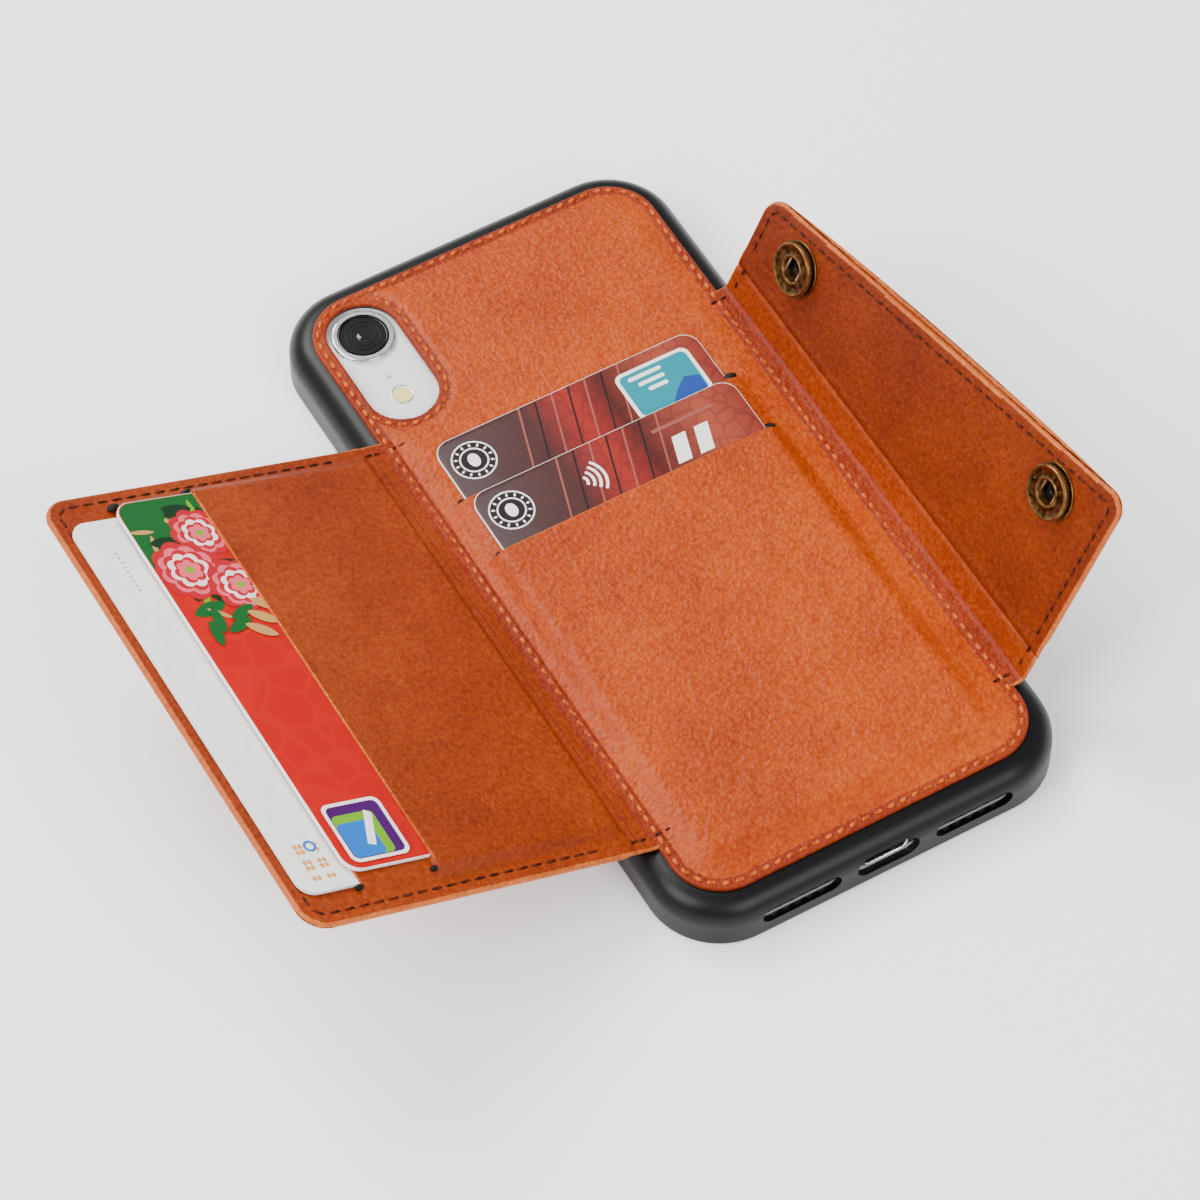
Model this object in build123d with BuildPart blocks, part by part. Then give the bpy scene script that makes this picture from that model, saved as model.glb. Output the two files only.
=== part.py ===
"""Phone wallet case: a moulded bumper with a leather back that holds two cards, a card flap
that folds over it from the left and a snap-down clasp flap that folds over from the right.

Millimetres.  The screen side rests on z = 0, the leather back faces +Z, the camera end of the
phone points along +Y, the clasp flap is on the +X side.  Both flaps are modelled part open.
"""
from build123d import *
import os
from math import atan2, cos, degrees, hypot, radians, sin, sqrt

# ---------------------------------------------------------------- driving dimensions
# the phone that the case is moulded around
PHONE_W = 75.7
PHONE_L = 150.9
PHONE_T = 8.3
PHONE_CORNER = 12.0
PHONE_EDGE = 3.3  # rounding of the long edges, front and back
GLASS_T = 0.6
CAMERA_FROM_SIDE = 12.1
CAMERA_FROM_TOP = 12.1
FLASH_BELOW_CAMERA = 14.7
MIC_BELOW_CAMERA = 10.0
CAMERA_D = 11.8
LENS_D = 9.6
BEZEL_H = 1.0
BEZEL_ROUND = 0.4
LENS_SUNK = 0.2
FLASH_D = 3.8
MIC_D = 0.9
SPEAKER_X = 17.3  # middle of each row of holes under the phone
SPEAKER_HOLE_D = 1.5
SPEAKER_PITCH = 2.4
SPEAKER_COUNT = 6
PORT_W = 8.4
PORT_H = 2.6
PORT_WALL = 0.5
PORT_DEPTH = 6.0

# an ID-1 card
CARD_L = 85.6
CARD_W = 53.98
CARD_T = 0.76
CARD_CORNER = 3.18

# moulded bumper
RIM_LIP = 0.8  # how far the rim stands past the screen
SIDE_GAP = 0.15  # phone to wall
BACK_GAP = 0.1  # phone to back plate
WALL = 1.35
PLATE = 0.75
SHOULDER = 4.4
RIM_ROUND = 0.7
WINDOW_GAP = 0.8  # camera ring to the edge of the leather's window
WINDOW_R = CAMERA_D / 2 + WINDOW_GAP
WINDOW_LEATHER_LIP = 0.3  # the leather reaches this far in past the plate's window
PORT_CUT = (12.4, 4.6)
SPEAKER_CUT = (15.6, 3.6)
SWITCH_CUT = (10.0, 4.6)

# keys over the phone's side buttons: name, side, distance below the phone's top, button length
KEYS = (
    ("volume_up", 1, 39.0, 9.0),
    ("volume_down", 1, 52.0, 9.0),
    ("side", -1, 46.0, 16.0),
)
SWITCH_FROM_TOP = 25.0
SWITCH_L = 5.0
SWITCH_TRAVEL = 0.8
BUTTON_H = 2.4
BUTTON_PROUD = 0.1
BUTTON_DEPTH = 1.1
BUTTON_GAP = 0.05
SWITCH_H = 1.2
KEY_TRAVEL = 0.3
KEY_H = 4.0
KEY_PAST_BUTTON = 1.5  # the key is this much longer than its button at each end
KEY_PROUD = 0.5
KEY_ROUND = 0.4
KEY_GAP = 0.15
KEY_BOSS_SHORT = 0.05  # how much nearer than one key travel the plug comes to the cavity wall
BOSS_INSET = 0.4

# leather back
LEATHER = 0.4  # one layer, skived
MARGIN_T = 0.9  # turned and stitched edge of the back panel
PAD = 0.25  # how far the padded field stands above the margin
MARGIN_W = 3.0
PANEL_INSET_X = 4.2  # bumper's outside to the panel's edge
PANEL_INSET_Y = 4.55
PANEL_CORNER = 9.6
LINING = 0.12
SLIDE = 0.04  # clearance above and below a card in its pocket
POCKET_SIDE = 0.15
POCKET_END = 0.3
COVER_EDGE = 2.0  # leather past each side of a pocket
FLAP_COVER_EDGE = 1.5
BACK_CARD_X = -1.2
LOWER_CARD_FOOT = 6.8  # panel's bottom edge to the lower card's hidden end
CARD_STEP = 13.6  # how much further up the upper card sits
BACK_CARD_SHOWS = 13.15

# flaps
FLAP_TOP = 39.9
CARD_FLAP_BOTTOM = -58.8
CLASP_BOTTOM = -60.8
CARD_FLAP_TILT = 22.25  # angle above horizontal as it stands open
CLASP_TILT = 67.0
SPINE_T = 0.8
PIVOT_INSET = 0.45  # panel's edge to the fold line on the back
CARD_CREASE_OUT = 0.55  # panel's edge to the crease beside it
CLASP_CREASE_OUT = 1.85
CREASE_DROP = 0.05
FOLD_GAP = 0.45  # stiff panel starts this far past its fold line
HINGE_GAP = 0.1
CLOSED_LEAN = 8.0  # the clasp's spine leans this far past upright when shut
CLOSED_GAP = 0.14  # between the two card stacks when shut

CARD_FLAP_LAYERS = {"outer": 0.55, "board": 0.25, "lining": 0.1, "inner": 0.45}
CARD_FLAP_EDGE = 2.0  # outer card's tip to the flap's edge
CARD_FLAP_CORNER = 5.0
FLAP_CARD_Y = -9.8
FLAP_CARD_SHIFT = 1.7  # the inner card sits this much nearer the camera end
OUTER_CARD_SETBACK = 9.9  # fold line to the outer card's hidden end
INNER_CARD_SETBACK = 0.6
OUTER_CARD_SHOWS = 11.0
INNER_CARD_SHOWS = 16.5
BOARD_INSET = 1.5

CLASP_LAYERS = {"outer": 0.55, "board": 0.4, "inner": 0.55}
CLASP_TOP_W = 22.9  # crease to the outer edge, measured at the flap's top end
CLASP_BOTTOM_W = 43.7
CLASP_CORNER = 4.2

# snap fasteners
# snap: place along the fold, distance in from the clasp's outer edge
SNAP_PLACES = {"top": (26.2, 8.6), "bottom": (-46.6, 8.0)}
SOCKET_R = 5.0
SOCKET_FLANGE_R = 5.25
SOCKET_FLANGE_T = 0.5
SOCKET_NECK_R = 4.5
SOCKET_NECK_T = 0.3
SOCKET_H = 2.2
SOCKET_ROUND = 0.55
SOCKET_HOLE_R = 2.15
SOCKET_FLOOR = 0.15
SPRING_T = 0.36
SPRING_W = 0.4
SPRING_R = 2.7
SPRING_Z = 0.85  # clasp's face to the underside of the spring
SPRING_GAP = 0.05
STUD_FLANGE_R = 3.6
STUD_FLANGE_T = 0.3
STUD_HEAD_R = 1.75
STUD_NECK_R = 1.3
STUD_H = 1.85
STUD_HEAD_T = 0.38
STUD_GAP = 0.05
RIVET_HEAD_R = 2.6
RIVET_HEAD_T = 0.2
RIVET_SHANK_R = 0.9
CAP_R = 6.25
CAP_H = 1.3
CAP_ROUND = 0.9
FLARE_R = 1.6
FLARE_T = 0.1

# stitching
THREAD = 0.4
THREAD_H = 0.12
STITCH_INSET = 0.8
WINDOW_STITCH_INSET = 0.6
FLAP_STITCH_INSET = 2.1

# ---------------------------------------------------------------- worked-out places
PHONE_SCREEN_Z = RIM_LIP
PHONE_BACK_Z = PHONE_SCREEN_Z + PHONE_T
PHONE_MID_Z = (PHONE_SCREEN_Z + PHONE_BACK_Z) / 2
PLATE_UNDER_Z = PHONE_BACK_Z + BACK_GAP
PLATE_TOP_Z = PLATE_UNDER_Z + PLATE
MARGIN_Z = PLATE_TOP_Z + MARGIN_T
CAMERA_X = -PHONE_W / 2 + CAMERA_FROM_SIDE
CAMERA_Y = PHONE_L / 2 - CAMERA_FROM_TOP
FLASH_Y = CAMERA_Y - FLASH_BELOW_CAMERA
SWITCH_Y = PHONE_L / 2 - SWITCH_FROM_TOP

CAVITY_HALF_W = PHONE_W / 2 + SIDE_GAP
CAVITY_HALF_L = PHONE_L / 2 + SIDE_GAP
TRAY_HALF_W = CAVITY_HALF_W + WALL
TRAY_HALF_L = CAVITY_HALF_L + WALL
PANEL_HALF_W = TRAY_HALF_W - PANEL_INSET_X
PANEL_HALF_L = TRAY_HALF_L - PANEL_INSET_Y
BUTTON_X = PHONE_W / 2 + BUTTON_PROUD - BUTTON_DEPTH
BED_X = BUTTON_X - KEY_TRAVEL - 2 * BUTTON_GAP
CUT_REACH = 30.0  # long enough to cut right through any wall


class Slope:
    """A straight sloping line in a card stack: its height at a distance along the pocket."""

    def __init__(self, start, height, rise):
        self.start = start
        self.height = height
        self.rise = rise

    def at(self, distance):
        return self.height + self.rise * (distance - self.start)

    def raised(self, amount):
        return Slope(self.start, self.height + amount, self.rise)


class CardStack:
    """Two cards in two slots of one sheet, in a section along the way that they slide.

    Card A lies underneath and comes out at slot_a; card B lies on it and comes out at slot_b.
    base is the underside of the leather, floor the top of the lining, pad the top of the
    leather past slot_a.
    """

    def __init__(self, base, floor, pad, a, b):
        self.base = base
        self.inner_a, self.tip_a, self.slot_a = a
        self.inner_b, self.tip_b, self.slot_b = b
        start_a = floor + SLIDE
        rise_a = (pad + SLIDE - start_a) / (self.slot_a - self.inner_a)
        self.card_a = Slope(self.inner_a, start_a, rise_a)
        self.over_a = self.card_a.raised(CARD_T + SLIDE + LEATHER)
        start_b = self.card_a.at(self.inner_a) + CARD_T + 2 * SLIDE
        rest_b = self.over_a.at(self.slot_b) + SLIDE
        rise_b = (rest_b - start_b) / (self.slot_b - self.inner_a)
        self.card_b = Slope(self.inner_a, start_b, rise_b)
        self.over_b = self.card_b.raised(CARD_T + SLIDE + LEATHER)
        self.highest = self.over_b.at(self.slot_b)

    def cover(self, back):
        """Outline of the stepped leather over both cards, down to its underside."""
        return [
            (back, self.base),
            (self.slot_a, self.base),
            (self.slot_a, self.over_a.at(self.slot_a)),
            (self.slot_b, self.over_a.at(self.slot_b)),
            (self.slot_b, self.over_b.at(self.slot_b)),
            (back, self.over_b.at(back)),
        ]

    def pocket_a(self):
        top = self.card_a.raised(CARD_T + SLIDE)
        end = self.inner_a - POCKET_END
        mouth = self.slot_a
        return [(end, self.base), (mouth, self.base), (mouth, top.at(mouth)), (end, top.at(end))]

    def pocket_b(self, end):
        top = self.card_b.raised(CARD_T + SLIDE)
        mouth = self.slot_b
        return [(end, self.base), (mouth, self.base), (mouth, top.at(mouth)), (end, top.at(end))]


class FlapFrame:
    """Where a flap stands: u runs out from its crease, w is square to its inner face.

    side is -1 for the card flap on the left and 1 for the clasp flap on the right.
    """

    def __init__(self, side, crease_x, crease_z, tilt):
        self.side = side
        self.tilt = tilt
        self.out = Vector(side * cos(radians(tilt)), 0, sin(radians(tilt)))
        self.normal = Vector(-side * sin(radians(tilt)), 0, cos(radians(tilt)))
        self.origin = Vector(crease_x, 0, crease_z)
        self.face = Plane(origin=self.origin, x_dir=self.out, z_dir=self.normal)

    def point(self, u, y, w):
        return self.origin + self.out * u + Vector(0, y, 0) + self.normal * w

    def section(self, y):
        """A plane across the fold at y, with u to its right and w up."""
        return self.snap_section(0, y)

    def snap_section(self, u, y):
        """The same section with its origin on the inner face at a snap's middle."""
        start = self.point(u, y, 0)
        return Plane(origin=start, x_dir=self.out, z_dir=self.out.cross(self.normal))

    def snap_axis(self, u, y):
        return Axis(self.point(u, y, 0), self.normal)

    def local_y(self, y):
        """The face plane's own second coordinate for a place along the fold."""
        return y * self.side


class Fold:
    """The soft strip between the back panel and a stiff flap, with its two fold lines."""

    def __init__(self, frame, closed_height, closed_angle):
        self.frame = frame
        half = SPINE_T / 2
        self.root = Vector(frame.side * (PANEL_HALF_W - PIVOT_INSET), 0, MARGIN_Z - half)
        self.knee = frame.point(0, 0, -half)
        start = self.knee - self.root
        # distance along the flap at which the strip is as tall as the shut stack needs
        length = (closed_height + 2 * half) / sin(radians(closed_angle))
        along = start.dot(frame.out)
        self.bend = -along + sqrt(along**2 - start.dot(start) + length**2)
        self.tip = frame.point(self.bend, 0, -half)
        rise = self.tip - self.root
        self.rest_angle = degrees(atan2(rise.Z, frame.side * rise.X))
        self.spine_turn = closed_angle - self.rest_angle
        self.flap_turn = 180 - frame.tilt - self.spine_turn
        self.closed_tip_x = self.root.X + frame.side * length * cos(radians(closed_angle))


def keep(piece, name):
    """Label a finished piece and write it out."""
    piece.part.label = name
    export_step(piece.part, f"parts/{name}.step")


def rounded_slab(half_w, half_l, corner, low, high, mode=Mode.ADD):
    """A flat block with rounded corners between two heights, in the open part."""
    with BuildSketch(Plane.XY.offset(low)) as outline:
        RectangleRounded(2 * half_w, 2 * half_l, corner)
    extrude(outline.sketch, amount=high - low, mode=mode)


def side_slot(side, middle, length, height, start_x, depth, mode=Mode.ADD):
    """A flat-ended round slot or plug that runs outward through the left or right side."""
    with BuildSketch(side_plane(side, start_x)) as outline:
        with Locations((side * middle, 0)):
            SlotOverall(length, height)
    extrude(outline.sketch, amount=depth, mode=mode)


def end_slot(middle, length, height, start_y, depth, mode=Mode.ADD):
    """A slot or plug that runs outward through the charging end."""
    with BuildSketch(Plane.XZ.offset(start_y)) as outline:
        with Locations((middle, PHONE_MID_Z)):
            SlotOverall(length, height)
    extrude(outline.sketch, amount=depth, mode=mode)


def side_plane(side, x):
    """A plane at the phone's mid height that looks out of the left or right side."""
    return Plane(origin=(side * x, 0, PHONE_MID_Z), x_dir=(0, side, 0), z_dir=(side, 0, 0))


def section_block(plane, outline, width, mode=Mode.ADD):
    """An outline drawn in a section plane, carried straight through the open part."""
    with BuildSketch(plane) as face:
        with BuildLine():
            Polyline(*outline, close=True)
        make_face()
    extrude(face.sketch, amount=width, mode=mode)


def turned(plane, axis, outline):
    """A turned piece from its half section."""
    with BuildSketch(plane) as face:
        with BuildLine():
            Polyline(*outline, close=True)
        make_face()
    revolve(face.sketch, axis=axis)


# ---------------------------------------------------------------- card stacks and folds
FLOOR_Z = PLATE_TOP_Z + LINING
LOWER_FOOT = -PANEL_HALF_L + LOWER_CARD_FOOT
UPPER_FOOT = LOWER_FOOT + CARD_STEP
BACK_STACK = CardStack(
    base=PLATE_TOP_Z,
    floor=FLOOR_Z,
    pad=MARGIN_Z + PAD,
    a=(UPPER_FOOT, UPPER_FOOT + CARD_L, UPPER_FOOT + CARD_L - BACK_CARD_SHOWS),
    b=(LOWER_FOOT, LOWER_FOOT + CARD_L, LOWER_FOOT + CARD_L - BACK_CARD_SHOWS),
)
BACK_RISE = BACK_STACK.highest - MARGIN_Z

CARD_FLAP_T = sum(CARD_FLAP_LAYERS.values())
CLASP_T = sum(CLASP_LAYERS.values())
CARD_FRAME = FlapFrame(
    -1, -(PANEL_HALF_W + CARD_CREASE_OUT), MARGIN_Z - CREASE_DROP, CARD_FLAP_TILT
)
CLASP_FRAME = FlapFrame(1, PANEL_HALF_W + CLASP_CREASE_OUT, MARGIN_Z, CLASP_TILT)


def flap_stack(bend):
    """The two cards in the card flap, for a fold line at this distance from its crease."""
    inner_a = bend + OUTER_CARD_SETBACK
    inner_b = bend + INNER_CARD_SETBACK
    tip_a = inner_a + CARD_W
    tip_b = inner_b + CARD_W
    return CardStack(
        base=-CARD_FLAP_LAYERS["inner"],
        floor=-CARD_FLAP_LAYERS["inner"],
        pad=0.0,
        a=(inner_a, tip_a, tip_a - OUTER_CARD_SHOWS),
        b=(inner_b, tip_b, tip_b - INNER_CARD_SHOWS),
    )


FLAP_RISE = flap_stack(0.0).highest  # the same at any fold line
CARD_FLAP_SHUT = BACK_RISE + CLOSED_GAP + FLAP_RISE  # inner face above the margin, shut
CARD_FOLD = Fold(CARD_FRAME, CARD_FLAP_SHUT, 90.0)
FLAP_STACK = flap_stack(CARD_FOLD.bend)
CARD_FLAP_START = CARD_FOLD.bend + FOLD_GAP
CARD_FLAP_END = FLAP_STACK.tip_a + CARD_FLAP_EDGE

CLASP_SHUT = CARD_FLAP_SHUT + CARD_FLAP_T + STUD_FLANGE_T + STUD_GAP + SOCKET_H
CLASP_FOLD = Fold(CLASP_FRAME, CLASP_SHUT, 90.0 + CLOSED_LEAN)
CLASP_START = CLASP_FOLD.bend + FOLD_GAP


def clasp_edge(y):
    """Distance from the clasp's crease to its slanted outer edge."""
    share = (FLAP_TOP - y) / (FLAP_TOP - CLASP_BOTTOM)
    return CLASP_TOP_W + share * (CLASP_BOTTOM_W - CLASP_TOP_W)


# snap name: (u on the clasp, u on the card flap, y); the two meet when both flaps are shut
SNAPS = {}
for snap_name, (snap_y, snap_edge) in SNAP_PLACES.items():
    socket_u = clasp_edge(snap_y) - snap_edge
    shut_x = CLASP_FOLD.closed_tip_x - (socket_u - CLASP_FOLD.bend)
    stud_u = CARD_FOLD.bend + shut_x - CARD_FOLD.closed_tip_x
    SNAPS[snap_name] = (socket_u, stud_u, snap_y)


# ---------------------------------------------------------------- bumper and its keys
def window_shape(radius, mode=Mode.ADD):
    """The camera window's outline, in the open sketch: straight sides and round ends."""
    with Locations((CAMERA_X, (CAMERA_Y + FLASH_Y) / 2)):
        SlotCenterToCenter(FLASH_BELOW_CAMERA, 2 * radius, rotation=90, mode=mode)


def window_slab(radius, low, high, mode):
    """The camera window's shape as a solid between two heights."""
    with BuildSketch(Plane.XY.offset(low)) as outline:
        window_shape(radius)
    extrude(outline.sketch, amount=high - low, mode=mode)


def make_bumper():
    """The moulded bumper: a shell with a window, port, speaker, switch and key cut-outs."""
    outer_corner = PHONE_CORNER + SIDE_GAP + WALL
    with BuildPart() as cavity:
        rounded_slab(CAVITY_HALF_W, CAVITY_HALF_L, PHONE_CORNER + SIDE_GAP, -1, PLATE_UNDER_Z)
        fillet(cavity.faces().sort_by(Axis.Z)[-1].edges(), PHONE_EDGE)
    with BuildPart() as bumper:
        rounded_slab(TRAY_HALF_W, TRAY_HALF_L, outer_corner, 0, PLATE_TOP_Z)
        fillet(bumper.faces().sort_by(Axis.Z)[-1].outer_wire().edges(), SHOULDER)
        fillet(bumper.faces().sort_by(Axis.Z)[0].outer_wire().edges(), RIM_ROUND)
        add(cavity.part, mode=Mode.SUBTRACT)
        window_slab(WINDOW_R + WINDOW_LEATHER_LIP, PLATE_UNDER_Z - 1, CUT_REACH, Mode.SUBTRACT)
        end_y = CAVITY_HALF_L - PHONE_EDGE
        end_slot(0, *PORT_CUT, end_y, CUT_REACH, Mode.SUBTRACT)
        for side in (-1, 1):
            end_slot(side * SPEAKER_X, *SPEAKER_CUT, end_y, CUT_REACH, Mode.SUBTRACT)
        side_x = CAVITY_HALF_W - PHONE_EDGE
        side_slot(1, SWITCH_Y, *SWITCH_CUT, side_x, CUT_REACH, Mode.SUBTRACT)
        for _, side, below_top, length in KEYS:
            hole_l = length + 2 * (KEY_PAST_BUTTON + KEY_GAP)
            hole_h = KEY_H + 2 * KEY_GAP
            middle = PHONE_L / 2 - below_top
            side_slot(side, middle, hole_l, hole_h, side_x, CUT_REACH, Mode.SUBTRACT)
    keep(bumper, "bumper")


def make_keys():
    """Bumper keys, each with a boss that reaches in to the phone's button."""
    plug_x = CAVITY_HALF_W + KEY_TRAVEL - KEY_BOSS_SHORT
    for name, side, below_top, length in KEYS:
        middle = PHONE_L / 2 - below_top
        with BuildPart() as key:
            plug_l = length + 2 * KEY_PAST_BUTTON
            side_slot(side, middle, plug_l, KEY_H, plug_x, TRAY_HALF_W + KEY_PROUD - plug_x)
            outer = key.faces().sort_by(Axis.X)[-1 if side > 0 else 0]
            fillet(outer.edges(), KEY_ROUND)
            boss_l = length - 2 * BOSS_INSET
            boss_h = BUTTON_H - 2 * BOSS_INSET
            side_slot(side, middle, boss_l, boss_h, CAVITY_HALF_W, plug_x - CAVITY_HALF_W)
        keep(key, f"{name}_key")


# ---------------------------------------------------------------- phone
FLAT_HALF_W = PHONE_W / 2 - PHONE_EDGE
FLAT_HALF_L = PHONE_L / 2 - PHONE_EDGE
FLAT_CORNER = PHONE_CORNER - PHONE_EDGE
CAMERA_SEAT_Z = PHONE_BACK_Z - 2 * GLASS_T


def disc(x, y, radius, low, high, mode=Mode.ADD):
    """An upright round block between two heights."""
    with BuildSketch(Plane.XY.offset(low)) as outline:
        with Locations((x, y)):
            Circle(radius)
    extrude(outline.sketch, amount=high - low, mode=mode)


def make_phone_frame():
    """The phone's metal body, with beds for both glasses and holes for what sits in it."""
    cut = Mode.SUBTRACT
    with BuildPart() as frame:
        rounded_slab(PHONE_W / 2, PHONE_L / 2, PHONE_CORNER, PHONE_SCREEN_Z, PHONE_BACK_Z)
        fillet(frame.faces().sort_by(Axis.Z)[-1].edges(), PHONE_EDGE)
        fillet(frame.faces().sort_by(Axis.Z)[0].edges(), PHONE_EDGE)
        for low in (PHONE_SCREEN_Z, PHONE_BACK_Z - GLASS_T):
            rounded_slab(FLAT_HALF_W, FLAT_HALF_L, FLAT_CORNER, low, low + GLASS_T, cut)
        disc(CAMERA_X, CAMERA_Y, CAMERA_D / 2, CAMERA_SEAT_Z, PHONE_BACK_Z, cut)
        disc(CAMERA_X, FLASH_Y, FLASH_D / 2, CAMERA_SEAT_Z, PHONE_BACK_Z, cut)
        end_y = PHONE_L / 2 - PORT_DEPTH
        end_slot(0, PORT_W + 2 * PORT_WALL, PORT_H + 2 * PORT_WALL, end_y, CUT_REACH, cut)
        with BuildSketch(Plane.XZ.offset(PHONE_L / 2 - PORT_DEPTH / 2)):
            for side in (-1, 1):
                with Locations((side * SPEAKER_X, PHONE_MID_Z)):
                    with GridLocations(SPEAKER_PITCH, 1, SPEAKER_COUNT, 1):
                        Circle(SPEAKER_HOLE_D / 2)
        extrude(amount=PORT_DEPTH, mode=cut)
        for _, side, below_top, length in KEYS:
            hole_l = length + 2 * BUTTON_GAP
            hole_h = BUTTON_H + 2 * BUTTON_GAP
            side_slot(side, PHONE_L / 2 - below_top, hole_l, hole_h, BED_X, CUT_REACH, cut)
        with BuildSketch(side_plane(1, BED_X)):
            with Locations((SWITCH_Y, -SWITCH_TRAVEL / 2)):
                Rectangle(SWITCH_L + 2 * BUTTON_GAP, SWITCH_H + SWITCH_TRAVEL + 2 * BUTTON_GAP)
        extrude(amount=CUT_REACH, mode=cut)
    keep(frame, "phone_frame")


def make_phone_glass():
    """Back glass with its camera, flash and microphone holes, and the screen glass."""
    back_z = PHONE_BACK_Z - GLASS_T
    with BuildPart() as back:
        rounded_slab(FLAT_HALF_W, FLAT_HALF_L, FLAT_CORNER, back_z, PHONE_BACK_Z)
        for y, width in (
            (CAMERA_Y, CAMERA_D),
            (FLASH_Y, FLASH_D),
            (CAMERA_Y - MIC_BELOW_CAMERA, MIC_D),
        ):
            disc(CAMERA_X, y, width / 2, back_z, PHONE_BACK_Z, Mode.SUBTRACT)
    keep(back, "phone_back_glass")
    with BuildPart() as screen:
        top_z = PHONE_SCREEN_Z + GLASS_T
        rounded_slab(FLAT_HALF_W, FLAT_HALF_L, FLAT_CORNER, PHONE_SCREEN_Z, top_z)
    keep(screen, "phone_screen_glass")


def make_phone_fittings():
    """Camera bezel and lens, flash, charging socket, side buttons and ring switch."""
    bezel_top = PHONE_BACK_Z + BEZEL_H
    with BuildPart() as bezel:
        disc(CAMERA_X, CAMERA_Y, CAMERA_D / 2, CAMERA_SEAT_Z, bezel_top)
        fillet(bezel.faces().sort_by(Axis.Z)[-1].edges(), BEZEL_ROUND)
        disc(CAMERA_X, CAMERA_Y, LENS_D / 2, CAMERA_SEAT_Z, bezel_top, Mode.SUBTRACT)
    keep(bezel, "camera_bezel")
    with BuildPart() as lens:
        disc(CAMERA_X, CAMERA_Y, LENS_D / 2, CAMERA_SEAT_Z, bezel_top - LENS_SUNK)
    keep(lens, "camera_lens")
    with BuildPart() as flash:
        disc(CAMERA_X, FLASH_Y, FLASH_D / 2, CAMERA_SEAT_Z, PHONE_BACK_Z)
    keep(flash, "flash_lens")
    with BuildPart() as socket:
        end_y = PHONE_L / 2 - PORT_DEPTH
        end_slot(0, PORT_W + 2 * PORT_WALL, PORT_H + 2 * PORT_WALL, end_y, PORT_DEPTH)
        end_slot(0, PORT_W, PORT_H, end_y + PORT_WALL, PORT_DEPTH, Mode.SUBTRACT)
    keep(socket, "charge_socket")
    for name, side, below_top, length in KEYS:
        with BuildPart() as button:
            side_slot(side, PHONE_L / 2 - below_top, length, BUTTON_H, BUTTON_X, BUTTON_DEPTH)
        keep(button, f"{name}_button")
    with BuildPart() as switch:
        with BuildSketch(side_plane(1, BUTTON_X)):
            with Locations((SWITCH_Y, 0)):
                Rectangle(SWITCH_L, SWITCH_H)
        extrude(amount=BUTTON_DEPTH)
    keep(switch, "ring_switch")


# ---------------------------------------------------------------- leather back
def make_back_leather():
    """The stitched leather back: margin, padded field and the stepped pockets for two cards."""
    half_pocket = CARD_W / 2 + POCKET_SIDE
    half_cover = half_pocket + COVER_EDGE
    foot = BACK_STACK.inner_b - POCKET_END
    cut = Mode.SUBTRACT
    with BuildPart() as back:
        rounded_slab(PANEL_HALF_W, PANEL_HALF_L, PANEL_CORNER, PLATE_TOP_Z, MARGIN_Z)
        with BuildSketch(Plane.XY.offset(MARGIN_Z)):
            RectangleRounded(
                2 * (PANEL_HALF_W - MARGIN_W),
                2 * (PANEL_HALF_L - MARGIN_W),
                PANEL_CORNER - MARGIN_W,
            )
            window_shape(WINDOW_R + MARGIN_W, mode=cut)
        extrude(amount=PAD)
        cover = BACK_STACK.cover(foot - COVER_EDGE)
        section_block(Plane.YZ.offset(BACK_CARD_X - half_cover), cover, 2 * half_cover)
        for outline in (BACK_STACK.pocket_a(), BACK_STACK.pocket_b(foot)):
            section_block(
                Plane.YZ.offset(BACK_CARD_X - half_pocket), outline, 2 * half_pocket, cut
            )
        window_slab(WINDOW_R, PLATE_TOP_Z - 1, CUT_REACH, cut)
        # room beside each fold line, where the strips to the flaps start
        notch_x = PANEL_HALF_W - PIVOT_INSET - SPINE_T / 2 - HINGE_GAP
        for side, bottom in ((-1, CARD_FLAP_BOTTOM), (1, CLASP_BOTTOM)):
            with BuildSketch(Plane.XY.offset(PLATE_TOP_Z - 1)):
                with Locations((side * (notch_x + MARGIN_W), (FLAP_TOP + bottom) / 2)):
                    Rectangle(2 * MARGIN_W, FLAP_TOP - bottom + 4 * HINGE_GAP)
            extrude(amount=CUT_REACH, mode=cut)
    keep(back, "back_leather")


def make_pocket_lining():
    """Thin fabric floor under the two cards in the back."""
    foot = BACK_STACK.inner_b - POCKET_END
    mouth = BACK_STACK.slot_a
    with BuildPart() as lining:
        with BuildSketch(Plane.XY.offset(PLATE_TOP_Z)):
            with Locations((BACK_CARD_X, (foot + mouth) / 2)):
                Rectangle(CARD_W + 2 * POCKET_SIDE, mouth - foot)
        extrude(amount=LINING)
    keep(lining, "back_pocket_lining")


def make_back_stitching():
    """Thread that runs round the back's margin and round the camera window."""
    top_z = MARGIN_Z + THREAD_H
    with BuildPart() as margin:
        for inset, mode in ((STITCH_INSET, Mode.ADD), (STITCH_INSET + THREAD, Mode.SUBTRACT)):
            half_w = PANEL_HALF_W - inset
            half_l = PANEL_HALF_L - inset
            rounded_slab(half_w, half_l, PANEL_CORNER - inset, MARGIN_Z, top_z, mode)
    keep(margin, "margin_stitching")
    with BuildPart() as window:
        inside = WINDOW_R + WINDOW_STITCH_INSET
        window_slab(inside + THREAD, MARGIN_Z, top_z, Mode.ADD)
        window_slab(inside, MARGIN_Z, top_z, Mode.SUBTRACT)
    keep(window, "window_stitching")


# ---------------------------------------------------------------- cards
def make_card(name, plane):
    """One ID-1 card whose underside lies on the plane, long side along the plane's x."""
    with BuildPart() as card:
        with BuildSketch(plane) as outline:
            RectangleRounded(CARD_L, CARD_W, CARD_CORNER)
        extrude(outline.sketch, amount=CARD_T)
    keep(card, name)


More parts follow.
